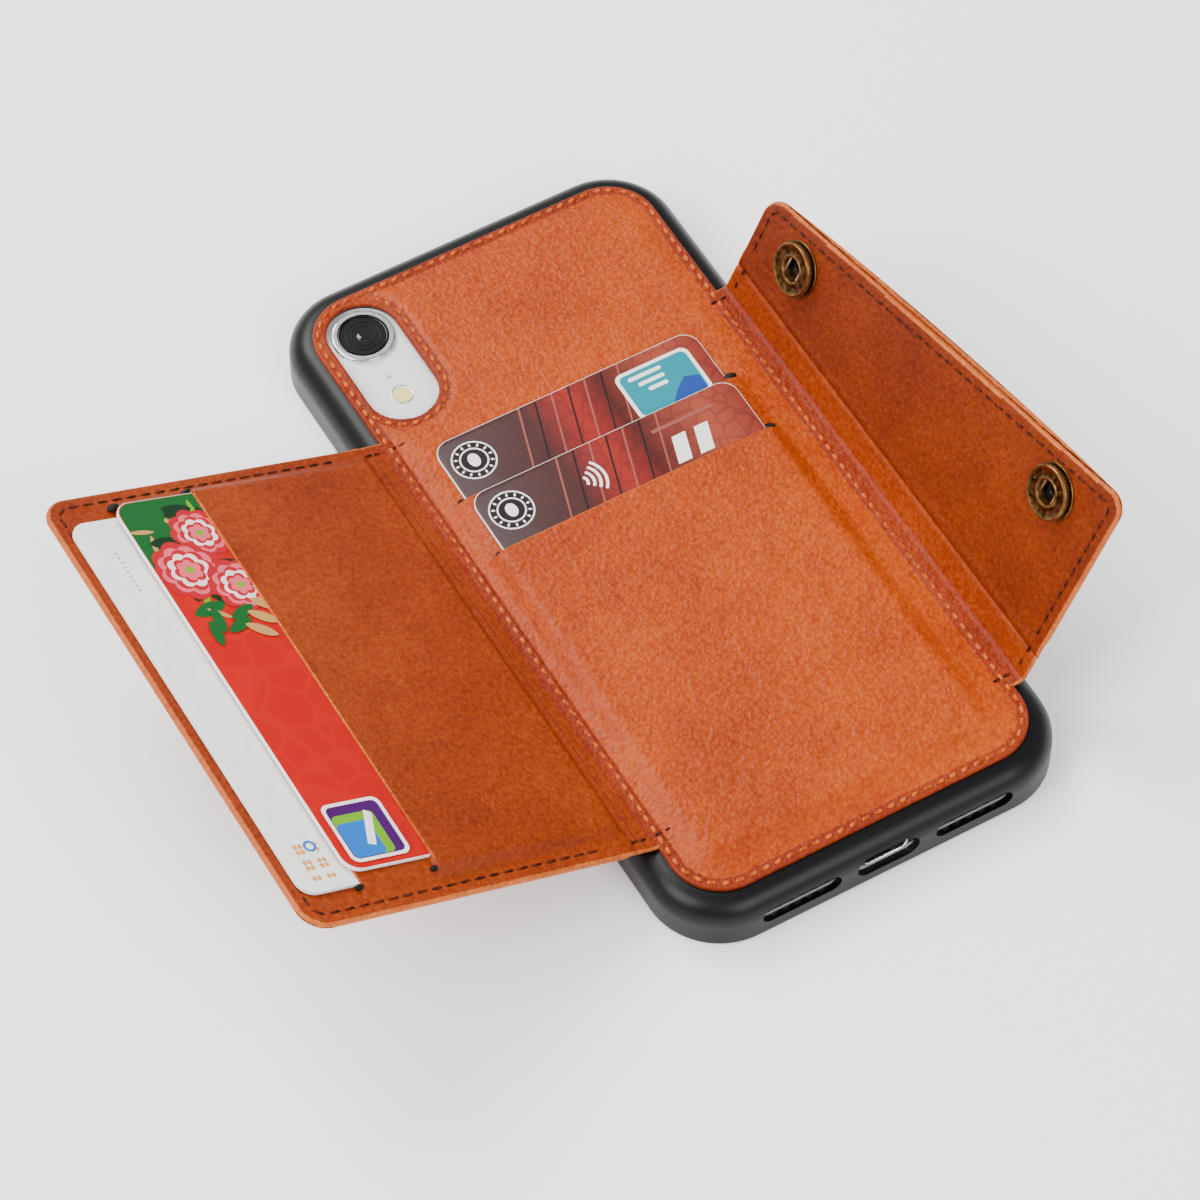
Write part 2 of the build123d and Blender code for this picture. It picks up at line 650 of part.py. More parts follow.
def make_cards():
    """Two cards in the back and two in the card flap."""
    for name, slope, foot in (
        ("back_card_upper", BACK_STACK.card_a, BACK_STACK.inner_a),
        ("back_card_lower", BACK_STACK.card_b, BACK_STACK.inner_b),
    ):
        middle = foot + CARD_L / 2
        along = Vector(0, 1, slope.rise)
        start = Vector(BACK_CARD_X, middle, slope.at(middle))
        make_card(name, Plane(origin=start, x_dir=along, z_dir=Vector(0, -slope.rise, 1)))
    for name, slope, inner, y in (
        ("flap_card_outer", FLAP_STACK.card_a, FLAP_STACK.inner_a, FLAP_CARD_Y),
        ("flap_card_inner", FLAP_STACK.card_b, FLAP_STACK.inner_b, FLAP_CARD_Y + FLAP_CARD_SHIFT),
    ):
        middle = inner + CARD_W / 2
        start = CARD_FRAME.point(middle, y, slope.at(middle))
        normal = CARD_FRAME.normal - CARD_FRAME.out * slope.rise
        make_card(name, Plane(origin=start, x_dir=(0, 1, 0), z_dir=normal))


# ---------------------------------------------------------------- strips to the flaps
def make_strip(name, fold, bottom):
    """The soft strip between two fold lines: a bent band with round edges."""
    with BuildPart() as strip:
        with BuildSketch(Plane.XZ.offset(-FLAP_TOP)):
            for start, end in ((fold.root, fold.knee), (fold.knee, fold.tip)):
                run = end - start
                turn = degrees(atan2(run.Z, run.X))
                with Locations(((start.X + end.X) / 2, (start.Z + end.Z) / 2)):
                    SlotCenterToCenter(run.length, SPINE_T, rotation=turn)
        extrude(amount=FLAP_TOP - bottom)
    keep(strip, name)


# ---------------------------------------------------------------- flaps
def card_flap_corners(start, inset):
    """Corners of the card flap on its face plane, drawn in on its three free sides."""
    end = CARD_FLAP_END - inset
    top = CARD_FRAME.local_y(FLAP_TOP - inset)
    bottom = CARD_FRAME.local_y(CARD_FLAP_BOTTOM + inset)
    return [(start, top), (end, top), (end, bottom), (start, bottom)]


def clasp_corners(start, inset):
    """Corners of the clasp on its face plane, drawn in on its three free sides."""
    square_on = hypot(1, (CLASP_BOTTOM_W - CLASP_TOP_W) / (FLAP_TOP - CLASP_BOTTOM))
    top = FLAP_TOP - inset
    bottom = CLASP_BOTTOM + inset
    top_end = clasp_edge(top) - inset * square_on
    bottom_end = clasp_edge(bottom) - inset * square_on
    return [(start, top), (top_end, top), (bottom_end, bottom), (start, bottom)]


def flap_layer(frame, corners, radius, low, high, mode=Mode.ADD):
    """A flat layer of a flap between two heights, with its two free corners rounded."""
    with BuildSketch(frame.face.offset(low)) as outline:
        with BuildLine():
            Polyline(*corners, close=True)
        make_face()
        for corner in corners[1:3]:
            fillet(outline.vertices().sort_by_distance((*corner, 0))[0], radius)
    extrude(outline.sketch, amount=high - low, mode=mode)


def snap_hole(frame, u, y, radius, low, high):
    """A round hole through a flap's layers at a snap."""
    with BuildSketch(frame.face.offset(low)) as outline:
        with Locations((u, frame.local_y(y))):
            Circle(radius)
    extrude(outline.sketch, amount=high - low, mode=Mode.SUBTRACT)


def make_card_flap():
    """Card flap: turned outer leather, board, lining and the stepped inner leather."""
    outer_low = -CARD_FLAP_T
    board_low = outer_low + CARD_FLAP_LAYERS["outer"]
    lining_low = board_low + CARD_FLAP_LAYERS["board"]
    inner_low = lining_low + CARD_FLAP_LAYERS["lining"]
    start = CARD_FLAP_START
    whole = card_flap_corners(start, 0)
    bed = card_flap_corners(start + BOARD_INSET, BOARD_INSET)
    bed_corner = CARD_FLAP_CORNER - BOARD_INSET
    studs = [(u, y) for _, u, y in SNAPS.values()]
    with BuildPart() as outer:
        flap_layer(CARD_FRAME, whole, CARD_FLAP_CORNER, outer_low, inner_low)
        flap_layer(CARD_FRAME, bed, bed_corner, board_low, inner_low, Mode.SUBTRACT)
        for u, y in studs:
            snap_hole(CARD_FRAME, u, y, RIVET_SHANK_R, outer_low - 1, inner_low + 1)
    keep(outer, "card_flap_outer_leather")
    with BuildPart() as board:
        flap_layer(CARD_FRAME, bed, bed_corner, board_low, lining_low)
        for u, y in studs:
            snap_hole(CARD_FRAME, u, y, RIVET_HEAD_R, board_low - 1, lining_low + 1)
    keep(board, "card_flap_board")
    with BuildPart() as lining:
        flap_layer(CARD_FRAME, bed, bed_corner, lining_low, inner_low)
    keep(lining, "card_flap_lining")
    low_y = FLAP_CARD_Y - CARD_L / 2 - POCKET_SIDE
    high_y = FLAP_CARD_Y + FLAP_CARD_SHIFT + CARD_L / 2 + POCKET_SIDE
    pocket_w = high_y - low_y
    with BuildPart() as inner:
        flap_layer(CARD_FRAME, whole, CARD_FLAP_CORNER, inner_low, 0)
        cover_plane = CARD_FRAME.section(low_y - FLAP_COVER_EDGE)
        section_block(cover_plane, FLAP_STACK.cover(start), pocket_w + 2 * FLAP_COVER_EDGE)
        for outline in (FLAP_STACK.pocket_a(), FLAP_STACK.pocket_b(start - 1)):
            section_block(CARD_FRAME.section(low_y), outline, pocket_w, Mode.SUBTRACT)
    keep(inner, "card_flap_inner_leather")
    make_flap_stitching("card_flap_stitching", CARD_FRAME, card_flap_corners, start, CARD_FLAP_CORNER)


def make_clasp():
    """Clasp flap: turned outer leather, board and inner leather, with holes for two snaps."""
    outer_low = -CLASP_T
    board_low = outer_low + CLASP_LAYERS["outer"]
    inner_low = board_low + CLASP_LAYERS["board"]
    start = CLASP_START
    whole = clasp_corners(start, 0)
    bed = clasp_corners(start + BOARD_INSET, BOARD_INSET)
    bed_corner = CLASP_CORNER - BOARD_INSET
    with BuildPart() as outer:
        flap_layer(CLASP_FRAME, whole, CLASP_CORNER, outer_low, inner_low)
        flap_layer(CLASP_FRAME, bed, bed_corner, board_low, inner_low, Mode.SUBTRACT)
        for u, _, y in SNAPS.values():
            snap_hole(CLASP_FRAME, u, y, RIVET_SHANK_R, outer_low - 1, inner_low + 1)
    keep(outer, "clasp_outer_leather")
    with BuildPart() as board:
        flap_layer(CLASP_FRAME, bed, bed_corner, board_low, inner_low)
        for u, _, y in SNAPS.values():
            snap_hole(CLASP_FRAME, u, y, RIVET_SHANK_R, board_low - 1, inner_low + 1)
    keep(board, "clasp_board")
    with BuildPart() as inner:
        flap_layer(CLASP_FRAME, whole, CLASP_CORNER, inner_low, 0)
        for u, _, y in SNAPS.values():
            snap_hole(CLASP_FRAME, u, y, RIVET_SHANK_R, inner_low - 1, 1)
    keep(inner, "clasp_inner_leather")
    make_flap_stitching("clasp_stitching", CLASP_FRAME, clasp_corners, start, CLASP_CORNER)


def make_flap_stitching(name, frame, corners, start, corner_r):
    """Thread along a flap's three free sides."""
    inner_inset = FLAP_STITCH_INSET + THREAD
    outside = corners(start, FLAP_STITCH_INSET)
    inside = corners(start - 1, inner_inset)
    with BuildPart() as thread:
        flap_layer(frame, outside, corner_r - FLAP_STITCH_INSET, 0, THREAD_H)
        flap_layer(frame, inside, corner_r - inner_inset, 0, THREAD_H, Mode.SUBTRACT)
    keep(thread, name)


# ---------------------------------------------------------------- snap fasteners
def make_snaps():
    """Two ring-spring snaps: socket, spring and cap on the clasp, stud on the card flap."""
    groove_low = SPRING_Z
    groove_high = SPRING_Z + SPRING_T + SPRING_GAP
    neck_high = SOCKET_FLANGE_T + SOCKET_NECK_T
    socket_outline = [
        (RIVET_SHANK_R, 0),
        (SOCKET_FLANGE_R, 0),
        (SOCKET_FLANGE_R, SOCKET_FLANGE_T),
        (SOCKET_NECK_R, SOCKET_FLANGE_T),
        (SOCKET_NECK_R, neck_high),
        (SOCKET_R, neck_high),
        (SOCKET_R, SOCKET_H - SOCKET_ROUND),
        (SOCKET_R - SOCKET_ROUND, SOCKET_H),
        (SOCKET_HOLE_R, SOCKET_H),
        (SOCKET_HOLE_R, groove_high),
        (SPRING_R + SPRING_GAP, groove_high),
        (SPRING_R + SPRING_GAP, groove_low),
        (SOCKET_HOLE_R, groove_low),
        (SOCKET_HOLE_R, SOCKET_FLOOR),
        (RIVET_SHANK_R, SOCKET_FLOOR),
    ]
    cap_outline = [
        (0, -CLASP_T - CAP_H),
        (CAP_R - CAP_ROUND, -CLASP_T - CAP_H),
        (CAP_R, -CLASP_T - CAP_H + CAP_ROUND),
        (CAP_R, -CLASP_T),
        (RIVET_SHANK_R, -CLASP_T),
        (RIVET_SHANK_R, SOCKET_FLOOR),
        (FLARE_R, SOCKET_FLOOR),
        (FLARE_R, SOCKET_FLOOR + FLARE_T),
        (0, SOCKET_FLOOR + FLARE_T),
    ]
    rivet_w = -CARD_FLAP_T + CARD_FLAP_LAYERS["outer"]
    flange_w = -CARD_FLAP_T - STUD_FLANGE_T
    stud_outline = [
        (0, rivet_w + RIVET_HEAD_T),
        (RIVET_HEAD_R, rivet_w + RIVET_HEAD_T),
        (RIVET_HEAD_R, rivet_w),
        (RIVET_SHANK_R, rivet_w),
        (RIVET_SHANK_R, -CARD_FLAP_T),
        (STUD_FLANGE_R, -CARD_FLAP_T),
        (STUD_FLANGE_R, flange_w),
        (STUD_NECK_R, flange_w),
        (STUD_NECK_R, flange_w - STUD_H + STUD_HEAD_T),
        (STUD_HEAD_R, flange_w - STUD_H + STUD_HEAD_T),
        (STUD_HEAD_R, flange_w - STUD_H),
        (0, flange_w - STUD_H),
    ]
    bar_y = (STUD_HEAD_R + STUD_NECK_R + SPRING_GAP) / 2 + SPRING_W / 2 - SPRING_GAP
    for place, (socket_u, stud_u, y) in SNAPS.items():
        section = CLASP_FRAME.snap_section(socket_u, y)
        axis = CLASP_FRAME.snap_axis(socket_u, y)
        with BuildPart() as socket:
            turned(section, axis, socket_outline)
        keep(socket, f"snap_socket_{place}")
        with BuildPart() as cap:
            turned(section, axis, cap_outline)
        keep(cap, f"snap_cap_{place}")
        with BuildPart() as spring:
            with BuildSketch(CLASP_FRAME.face.offset(SPRING_Z)) as wire:
                with Locations((socket_u, CLASP_FRAME.local_y(y))):
                    Circle(SPRING_R)
                    Circle(SPRING_R - SPRING_W, mode=Mode.SUBTRACT)
                for across in (-bar_y, bar_y):
                    with Locations((socket_u, CLASP_FRAME.local_y(y) + across)):
                        Rectangle(2 * SPRING_R, SPRING_W)
                with Locations((socket_u, CLASP_FRAME.local_y(y))):
                    Circle(SPRING_R, mode=Mode.INTERSECT)
            extrude(wire.sketch, amount=SPRING_T)
        keep(spring, f"snap_spring_{place}")
        with BuildPart() as stud:
            turned(
                CARD_FRAME.snap_section(stud_u, y), CARD_FRAME.snap_axis(stud_u, y), stud_outline
            )
        keep(stud, f"snap_stud_{place}")


def main():
    os.makedirs("parts", exist_ok=True)
    make_bumper()
    make_keys()
    make_phone_frame()
    make_phone_glass()
    make_phone_fittings()
    make_back_leather()
    make_pocket_lining()
    make_back_stitching()
    make_cards()
    make_strip("card_flap_strip", CARD_FOLD, CARD_FLAP_BOTTOM)
    make_strip("clasp_strip", CLASP_FOLD, CLASP_BOTTOM)
    make_card_flap()
    make_clasp()
    make_snaps()


if __name__ == "__main__":
    main()
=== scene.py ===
"""Looks of a leather phone wallet case: moulded bumper, padded leather back, two flaps, snaps, cards, phone."""
from __future__ import annotations

import logging
import math
from dataclasses import dataclass, field
from enum import Enum
from typing import Callable, Iterable, Sequence

import bmesh
import bpy
import numpy as np
from mathutils import Matrix, Vector

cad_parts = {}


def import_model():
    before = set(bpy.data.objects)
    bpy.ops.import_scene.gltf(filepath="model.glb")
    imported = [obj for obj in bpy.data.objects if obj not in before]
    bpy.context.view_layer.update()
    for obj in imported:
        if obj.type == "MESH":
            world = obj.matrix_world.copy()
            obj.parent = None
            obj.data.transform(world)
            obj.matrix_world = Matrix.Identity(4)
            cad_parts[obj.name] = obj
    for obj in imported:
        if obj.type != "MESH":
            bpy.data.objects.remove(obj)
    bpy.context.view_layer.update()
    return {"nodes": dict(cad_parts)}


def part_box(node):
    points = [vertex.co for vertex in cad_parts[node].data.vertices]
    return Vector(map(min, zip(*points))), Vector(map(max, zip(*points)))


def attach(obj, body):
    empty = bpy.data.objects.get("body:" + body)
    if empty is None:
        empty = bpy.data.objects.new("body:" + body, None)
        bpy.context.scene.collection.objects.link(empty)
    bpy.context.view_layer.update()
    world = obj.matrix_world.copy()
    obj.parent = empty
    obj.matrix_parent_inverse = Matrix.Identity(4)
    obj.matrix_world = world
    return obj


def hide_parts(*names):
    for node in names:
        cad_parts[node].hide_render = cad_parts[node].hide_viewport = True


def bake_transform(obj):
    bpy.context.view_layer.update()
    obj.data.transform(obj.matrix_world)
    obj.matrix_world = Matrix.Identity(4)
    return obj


LOG = logging.getLogger("wallet_case")
MM = 0.001
Grid = np.ndarray


# ------------------------------------------------------------------ small tools
def linear(hex_colour: str) -> tuple[float, float, float, float]:
    """Turn an sRGB hex colour into linear RGBA.

    Args:
        hex_colour: six hex digits, such as "c8602e".

    Returns:
        Linear red, green, blue and alpha.
    """
    parts = [int(hex_colour[i:i + 2], 16) / 255 for i in (0, 2, 4)]
    out = [c / 12.92 if c <= 0.04045 else ((c + 0.055) / 1.055) ** 2.4 for c in parts]
    return (out[0], out[1], out[2], 1.0)


def face_middles(piece: bpy.types.Object) -> Grid:
    """The middle of each of a piece's faces, in millimetres."""
    return np.array([tuple(face.center) for face in piece.data.polygons]) / MM


def smooth(value: Grid) -> Grid:
    """Ease from 0 at 0 to 1 at 1."""
    t = np.clip(value, 0.0, 1.0)
    return t * t * (3 - 2 * t)


def mesh_piece(name: str, points_mm: Grid, faces: Iterable[Sequence[int]]) -> bpy.types.Object:
    """Make a piece from points in millimetres, with doubles merged and faces outward.

    Args:
        name: the piece's name.
        points_mm: an n by 3 array.
        faces: corner lists.

    Returns:
        The new smooth-shaded object, at the origin.
    """
    mesh = bpy.data.meshes.new(name)
    mesh.from_pydata((np.asarray(points_mm, float) * MM).tolist(), [], [list(f) for f in faces])
    shell = bmesh.new()
    shell.from_mesh(mesh)
    bmesh.ops.remove_doubles(shell, verts=shell.verts, dist=2e-6)
    bmesh.ops.dissolve_degenerate(shell, edges=shell.edges, dist=1e-7)
    bmesh.ops.recalc_face_normals(shell, faces=shell.faces)
    for face in shell.faces:
        face.smooth = True
    shell.to_mesh(mesh)
    shell.free()
    piece = bpy.data.objects.new(name, mesh)
    bpy.context.scene.collection.objects.link(piece)
    return piece


def pick(*pieces: bpy.types.Object) -> None:
    """Select only these pieces and make the first active."""
    bpy.ops.object.select_all(action="DESELECT")
    for piece in pieces:
        piece.select_set(True)
    bpy.context.view_layer.objects.active = pieces[0]


def apply_modifiers(piece: bpy.types.Object) -> None:
    """Apply every modifier of a piece."""
    pick(piece)
    for modifier in list(piece.modifiers):
        bpy.ops.object.modifier_apply(modifier=modifier.name)


def join(pieces: list[bpy.types.Object], name: str) -> bpy.types.Object:
    """Join pieces into one with this name.

    Args:
        pieces: what is joined, at least one.
        name: the joined piece's name.

    Returns:
        The first piece, which now holds them all.
    """
    pick(*pieces)
    if len(pieces) > 1:
        bpy.ops.object.join()
    pieces[0].name = name
    return pieces[0]


def shade(piece: bpy.types.Object, degrees: float = 35.0) -> None:
    """Smooth shading that keeps edges sharper than this angle."""
    pick(piece)
    bpy.ops.object.shade_smooth_by_angle(angle=math.radians(degrees))


def finished(piece: bpy.types.Object, body: str, material: bpy.types.Material,
             stands_for: Sequence[str] = ()) -> bpy.types.Object:
    """Dress a finished piece and tie it to its body.

    Args:
        piece: the mesh.
        body: the body that it moves with, or an empty name to leave it untied.
        material: its look, or None to keep what it has.
        stands_for: the CAD nodes that it replaces.

    Returns:
        The piece.
    """
    if material is not None:
        piece.data.materials.clear()
        piece.data.materials.append(material)
    if body:
        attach(piece, body)
    if stands_for:
        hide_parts(*stands_for)
    LOG.info("%s: %d faces", piece.name, len(piece.data.polygons))
    return piece


# ------------------------------------------------------------------ outlines
def arc(centre: tuple[float, float], radius: float, start: float, end: float, steps: int) -> Grid:
    """Points on an arc, angles in degrees."""
    angles = np.radians(np.linspace(start, end, steps))
    return np.stack([centre[0] + radius * np.cos(angles), centre[1] + radius * np.sin(angles)], 1)


def rounded_rectangle(half_w: float, half_l: float, radius: float, steps: int = 14) -> Grid:
    """A closed rounded rectangle about the origin.

    Args:
        half_w: half its width.
        half_l: half its length.
        radius: its corners' radius.
        steps: points in each corner's arc.

    Returns:
        Its points in order.
    """
    corners = ((1, 1, 0), (-1, 1, 90), (-1, -1, 180), (1, -1, 270))
    return np.vstack([
        arc((sx * (half_w - radius), sy * (half_l - radius)), radius, turn, turn + 90, steps)
        for sx, sy, turn in corners
    ])


def stadium(x: float, low: float, high: float, radius: float, steps: int = 28) -> Grid:
    """A closed upright stadium."""
    return np.vstack([arc((x, high), radius, 0, 180, steps), arc((x, low), radius, 180, 360, steps)])


def obround(x: float, z: float, length: float, height: float, steps: int = 12) -> Grid:
    """A closed flat-lying stadium."""
    radius = height / 2
    reach = length / 2 - radius
    return np.vstack([arc((x + reach, z), radius, -90, 90, steps), arc((x - reach, z), radius, 90, 270, steps)])


def distance_to(points: Grid, outline: Grid, closed: bool = True) -> Grid:
    """Shortest distance from each 2-D point to an outline.

    Args:
        points: an n by 2 array.
        outline: the outline's corners.
        closed: whether its last corner joins its first.

    Returns:
        One distance for each point.
    """
    ends = np.roll(outline, -1, 0) if closed else outline[1:]
    starts = outline if closed else outline[:-1]
    best = np.full(len(points), 1e9)
    for a, b in zip(starts, ends):
        run = b - a
        share = np.clip(((points - a) @ run) / max(run @ run, 1e-12), 0, 1)
        gap = points - a - share[:, None] * run
        best = np.minimum(best, np.einsum("ij,ij->i", gap, gap))
    return np.sqrt(best)


def spaced(path: Grid, pitch: float, closed: bool) -> tuple[Grid, Grid]:
    """Points along a 3-D path at an even pitch.

    Args:
        path: corner points.
        pitch: wanted spacing.
        closed: whether the path returns to its start.

    Returns:
        Places and unit directions.
    """
    pts = np.vstack([path, path[:1]]) if closed else path
    runs = np.linalg.norm(np.diff(pts, axis=0), axis=1)
    pts = pts[np.r_[True, runs > 1e-9]]
    runs = runs[runs > 1e-9]
    along = np.r_[0, np.cumsum(runs)]
    count = max(2, int(round(along[-1] / pitch)))
    at = (np.arange(count) + 0.5) * along[-1] / count
    place = np.stack([np.interp(at, along, pts[:, k]) for k in range(3)], 1)
    ahead = np.stack([np.interp(at + 0.2, along, pts[:, k]) for k in range(3)], 1)
    behind = np.stack([np.interp(at - 0.2, along, pts[:, k]) for k in range(3)], 1)
    way = ahead - behind
    return place, way / np.linalg.norm(way, axis=1)[:, None]


def sweep(name: str, path: Grid, normals: Grid, section: Grid, closed: bool = True) -> bpy.types.Object:
    """Carry a closed section along a path.

    Args:
        name: the piece's name.
        path: n by 3 points.
        normals: n by 3 directions for the section's second coordinate.
        section: m by 2 points: sideways (left of travel is positive), up.
        closed: whether the path returns to its start.

    Returns:
        The swept piece.
    """
    ahead = np.roll(path, -1, 0) - np.roll(path, 1, 0)
    if not closed:
        ahead[0], ahead[-1] = path[1] - path[0], path[-1] - path[-2]
    ahead /= np.linalg.norm(ahead, axis=1)[:, None]
    side = np.cross(normals, ahead)
    side /= np.linalg.norm(side, axis=1)[:, None]
    n, m = len(path), len(section)
    points = (path[:, None] + side[:, None] * section[None, :, :1] + normals[:, None] * section[None, :, 1:])
    faces = []
    for i in range(n if closed else n - 1):
        a, b = i * m, ((i + 1) % n) * m
        faces += [(a + j, a + (j + 1) % m, b + (j + 1) % m, b + j) for j in range(m)]
    if not closed:
        faces += [tuple(range(m)), tuple(range((n - 1) * m, n * m))]
    return mesh_piece(name, points.reshape(-1, 3), faces)


def stitches(name: str, places: Grid, ways: Grid, normals: Grid, size: tuple[float, float, float],
             slant: float = 0.0) -> bpy.types.Object:
    """Plump stitches, one at each place.

    Args:
        name: the piece's name.
        places: where each stitch's middle is.
        ways: unit directions of sewing.
        normals: unit directions out of the leather.
        size: half length, half width, half height.
        slant: how far each stitch turns from the row, in radians.

    Returns:
        All the stitches as one piece.
    """
    rings, around = 7, 8
    template, faces = [], []
    for i in range(rings):
        t = -1 + 2 * i / (rings - 1)
        swell = max(0.0, 1 - abs(t) ** 3.2) ** 0.5
        for j in range(around):
            turn = 2 * math.pi * j / around
            template.append((t * size[0], math.cos(turn) * swell * size[1], math.sin(turn) * swell * size[2]))
    for i in range(rings - 1):
        for j in range(around):
            k = (j + 1) % around
            faces.append((i * around + j, i * around + k, (i + 1) * around + k, (i + 1) * around + j))
    template = np.array(template)
    points, corners = [], []
    for place, way, normal in zip(places, ways, normals):
        side = np.cross(normal, way)
        turned = way * math.cos(slant) + side * math.sin(slant)
        basis = np.stack([turned, np.cross(normal, turned), normal])
        start = len(points) * len(template)
        points.append(place + template @ basis)
        corners += [tuple(start + c for c in f) for f in faces]
    return mesh_piece(name, np.vstack(points), corners)


# ------------------------------------------------------------------ materials
def node(tree: bpy.types.NodeTree, kind: str, inputs: dict | None = None,
         stops: Sequence[tuple[float, str]] = (), **settings: object) -> bpy.types.Node:
    """Add a node with its settings and links.

    Args:
        tree: the material's tree.
        kind: Blender's node type.
        inputs: socket name or number, to a value or to another node's output.
        stops: places and hex colours, on a node that has a colour ramp.
        settings: the node's own properties.

    Returns:
        The node.
    """
    made = tree.nodes.new(kind)
    for key, value in settings.items():
        setattr(made, key, value)
    for key, value in (inputs or {}).items():
        if isinstance(value, bpy.types.NodeSocket):
            tree.links.new(value, made.inputs[key])
        else:
            made.inputs[key].default_value = value
    while stops and len(made.color_ramp.elements) < len(stops):
        made.color_ramp.elements.new(0.5)
    for k, (place, colour) in enumerate(stops):
        made.color_ramp.elements[k].position = place
        made.color_ramp.elements[k].color = linear(colour)
    return made


def blank(name: str) -> tuple[bpy.types.Material, bpy.types.NodeTree, bpy.types.Node]:
    """A new material, its tree and its main shader.

    Args:
        name: the material's name.

    Returns:
        The material, its node tree and its shader.
    """
    material = bpy.data.materials.new(name)
    material.use_nodes = True
    tree = material.node_tree
    tree.nodes.clear()
    shader = node(tree, "ShaderNodeBsdfPrincipled")
    node(tree, "ShaderNodeOutputMaterial", {"Surface": shader.outputs[0]})
    return material, tree, shader


def per_mm(size_mm: float) -> float:
    """Texture scale on Object coordinates for a feature of this size."""
    return 1.0 / (size_mm * MM)


@dataclass(frozen=True)
class Leather:
    """Pull-up imitation leather: polyurethane skin, pebble grain and clouded tone; the flap and clasp looks are
    darker copies, as painted shade.
    """

    name: str
    dark: str
    middle: str
    light: str
    roughness: float = 0.42
    grain_mm: float = 0.72
    crease_mm: float = 3.4
    grain_depth: float = 0.85
    relief_mm: float = 0.2
    ior: float = 1.3

    def material(self) -> bpy.types.Material:
        """Build the material."""
        material, tree, shader = blank(self.name)
        place = node(tree, "ShaderNodeTexCoord").outputs["Object"]
        cloud = node(tree, "ShaderNodeTexNoise", {"Vector": place, "Scale": per_mm(26), "Detail": 5.0,
                                                  "Roughness": 0.6})
        fleck = node(tree, "ShaderNodeTexNoise", {"Vector": place, "Scale": per_mm(0.95), "Detail": 4.0,
                                                  "Roughness": 0.65})
        mixed = node(tree, "ShaderNodeMath", {0: cloud.outputs[0], 1: fleck.outputs[0]}, operation="ADD")
        half = node(tree, "ShaderNodeMath", {0: mixed.outputs[0], 1: 0.5}, operation="MULTIPLY")
        # pebbles of the embossed skin, drawn a little coarser than life so that they show
        warp = node(tree, "ShaderNodeTexNoise", {"Vector": place, "Scale": per_mm(2.4), "Detail": 2.0})
        bend = node(tree, "ShaderNodeMix", {"Factor": 0.0012, 6: place, 7: warp.outputs[1]},
                    data_type="RGBA", blend_type="ADD")
        pebble = node(tree, "ShaderNodeTexVoronoi", {"Vector": bend.outputs[2], "Scale": per_mm(self.grain_mm)},
                      feature="SMOOTH_F1")
        crease = node(tree, "ShaderNodeTexNoise", {"Vector": place, "Scale": per_mm(self.crease_mm),
                                                   "Detail": 6.0, "Roughness": 0.62, "Distortion": 0.6})
        pit = node(tree, "ShaderNodeMapRange", {0: pebble.outputs[0], 1: 0.1, 2: 0.7, 3: 0.05, 4: -0.08})
        shown = node(tree, "ShaderNodeMath", {0: half.outputs[0], 1: pit.outputs[0]}, operation="ADD")
        colour = node(tree, "ShaderNodeValToRGB", {0: shown.outputs[0]},
                      ((0.3, self.dark), (0.5, self.middle), (0.7, self.light)))
        wrinkle = node(tree, "ShaderNodeTexNoise", {"Vector": place, "Scale": per_mm(11), "Detail": 3.0,
                                                    "Distortion": 1.6})
        ridged = node(tree, "ShaderNodeMath", {0: wrinkle.outputs[0], 1: 0.5}, operation="SUBTRACT")
        folds = node(tree, "ShaderNodeMath", {0: ridged.outputs[0]}, operation="ABSOLUTE")
        shallow = node(tree, "ShaderNodeMath", {0: folds.outputs[0], 1: 3.0}, operation="MULTIPLY")
        worn = node(tree, "ShaderNodeMath", {0: crease.outputs[0], 1: shallow.outputs[0]}, operation="ADD")
        skin = node(tree, "ShaderNodeMath", {0: pebble.outputs[0], 1: worn.outputs[0]}, operation="ADD")
        bump = node(tree, "ShaderNodeBump", {"Height": skin.outputs[0], "Strength": self.grain_depth,
                                             "Distance": self.relief_mm * MM})
        shine = node(tree, "ShaderNodeMapRange", {0: fleck.outputs[0], 1: 0.3, 2: 0.7,
                                                  3: self.roughness - 0.07, 4: self.roughness + 0.1})
        tree.links.new(colour.outputs[0], shader.inputs["Base Color"])
        tree.links.new(shine.outputs[0], shader.inputs["Roughness"])
        tree.links.new(bump.outputs[0], shader.inputs["Normal"])
        shader.inputs["IOR"].default_value = self.ior
        return material


@dataclass(frozen=True)
class Plastic:
    """Moulded plastic, lacquer, paint or glass seen as a coloured gloss, with a faint texture."""

    name: str
    colour: str
    roughness: float
    texture_mm: float = 0.25
    depth: float = 0.1
    relief_mm: float = 0.02
    ior: float = 1.5
    coat: float = 0.0

    def material(self) -> bpy.types.Material:
        """Build the material."""
        material, tree, shader = blank(self.name)
        place = node(tree, "ShaderNodeTexCoord").outputs["Object"]
        fine = node(tree, "ShaderNodeTexNoise", {"Vector": place, "Scale": per_mm(self.texture_mm), "Detail": 2.0})
        bump = node(tree, "ShaderNodeBump", {"Height": fine.outputs[0], "Strength": self.depth,
                                             "Distance": self.relief_mm * MM})
        shine = node(tree, "ShaderNodeMapRange", {0: fine.outputs[0], 3: self.roughness * 0.9,
                                                  4: self.roughness * 1.1})
        shader.inputs["Base Color"].default_value = linear(self.colour)
        tree.links.new(shine.outputs[0], shader.inputs["Roughness"])
        tree.links.new(bump.outputs[0], shader.inputs["Normal"])
        shader.inputs["IOR"].default_value = self.ior
        shader.inputs["Coat Weight"].default_value = self.coat
        return material


@dataclass(frozen=True)
class Ink(Plastic):
    """Flat printing ink under a clear film."""

    roughness: float = 0.34
    depth: float = 0.0
    ior: float = 1.33


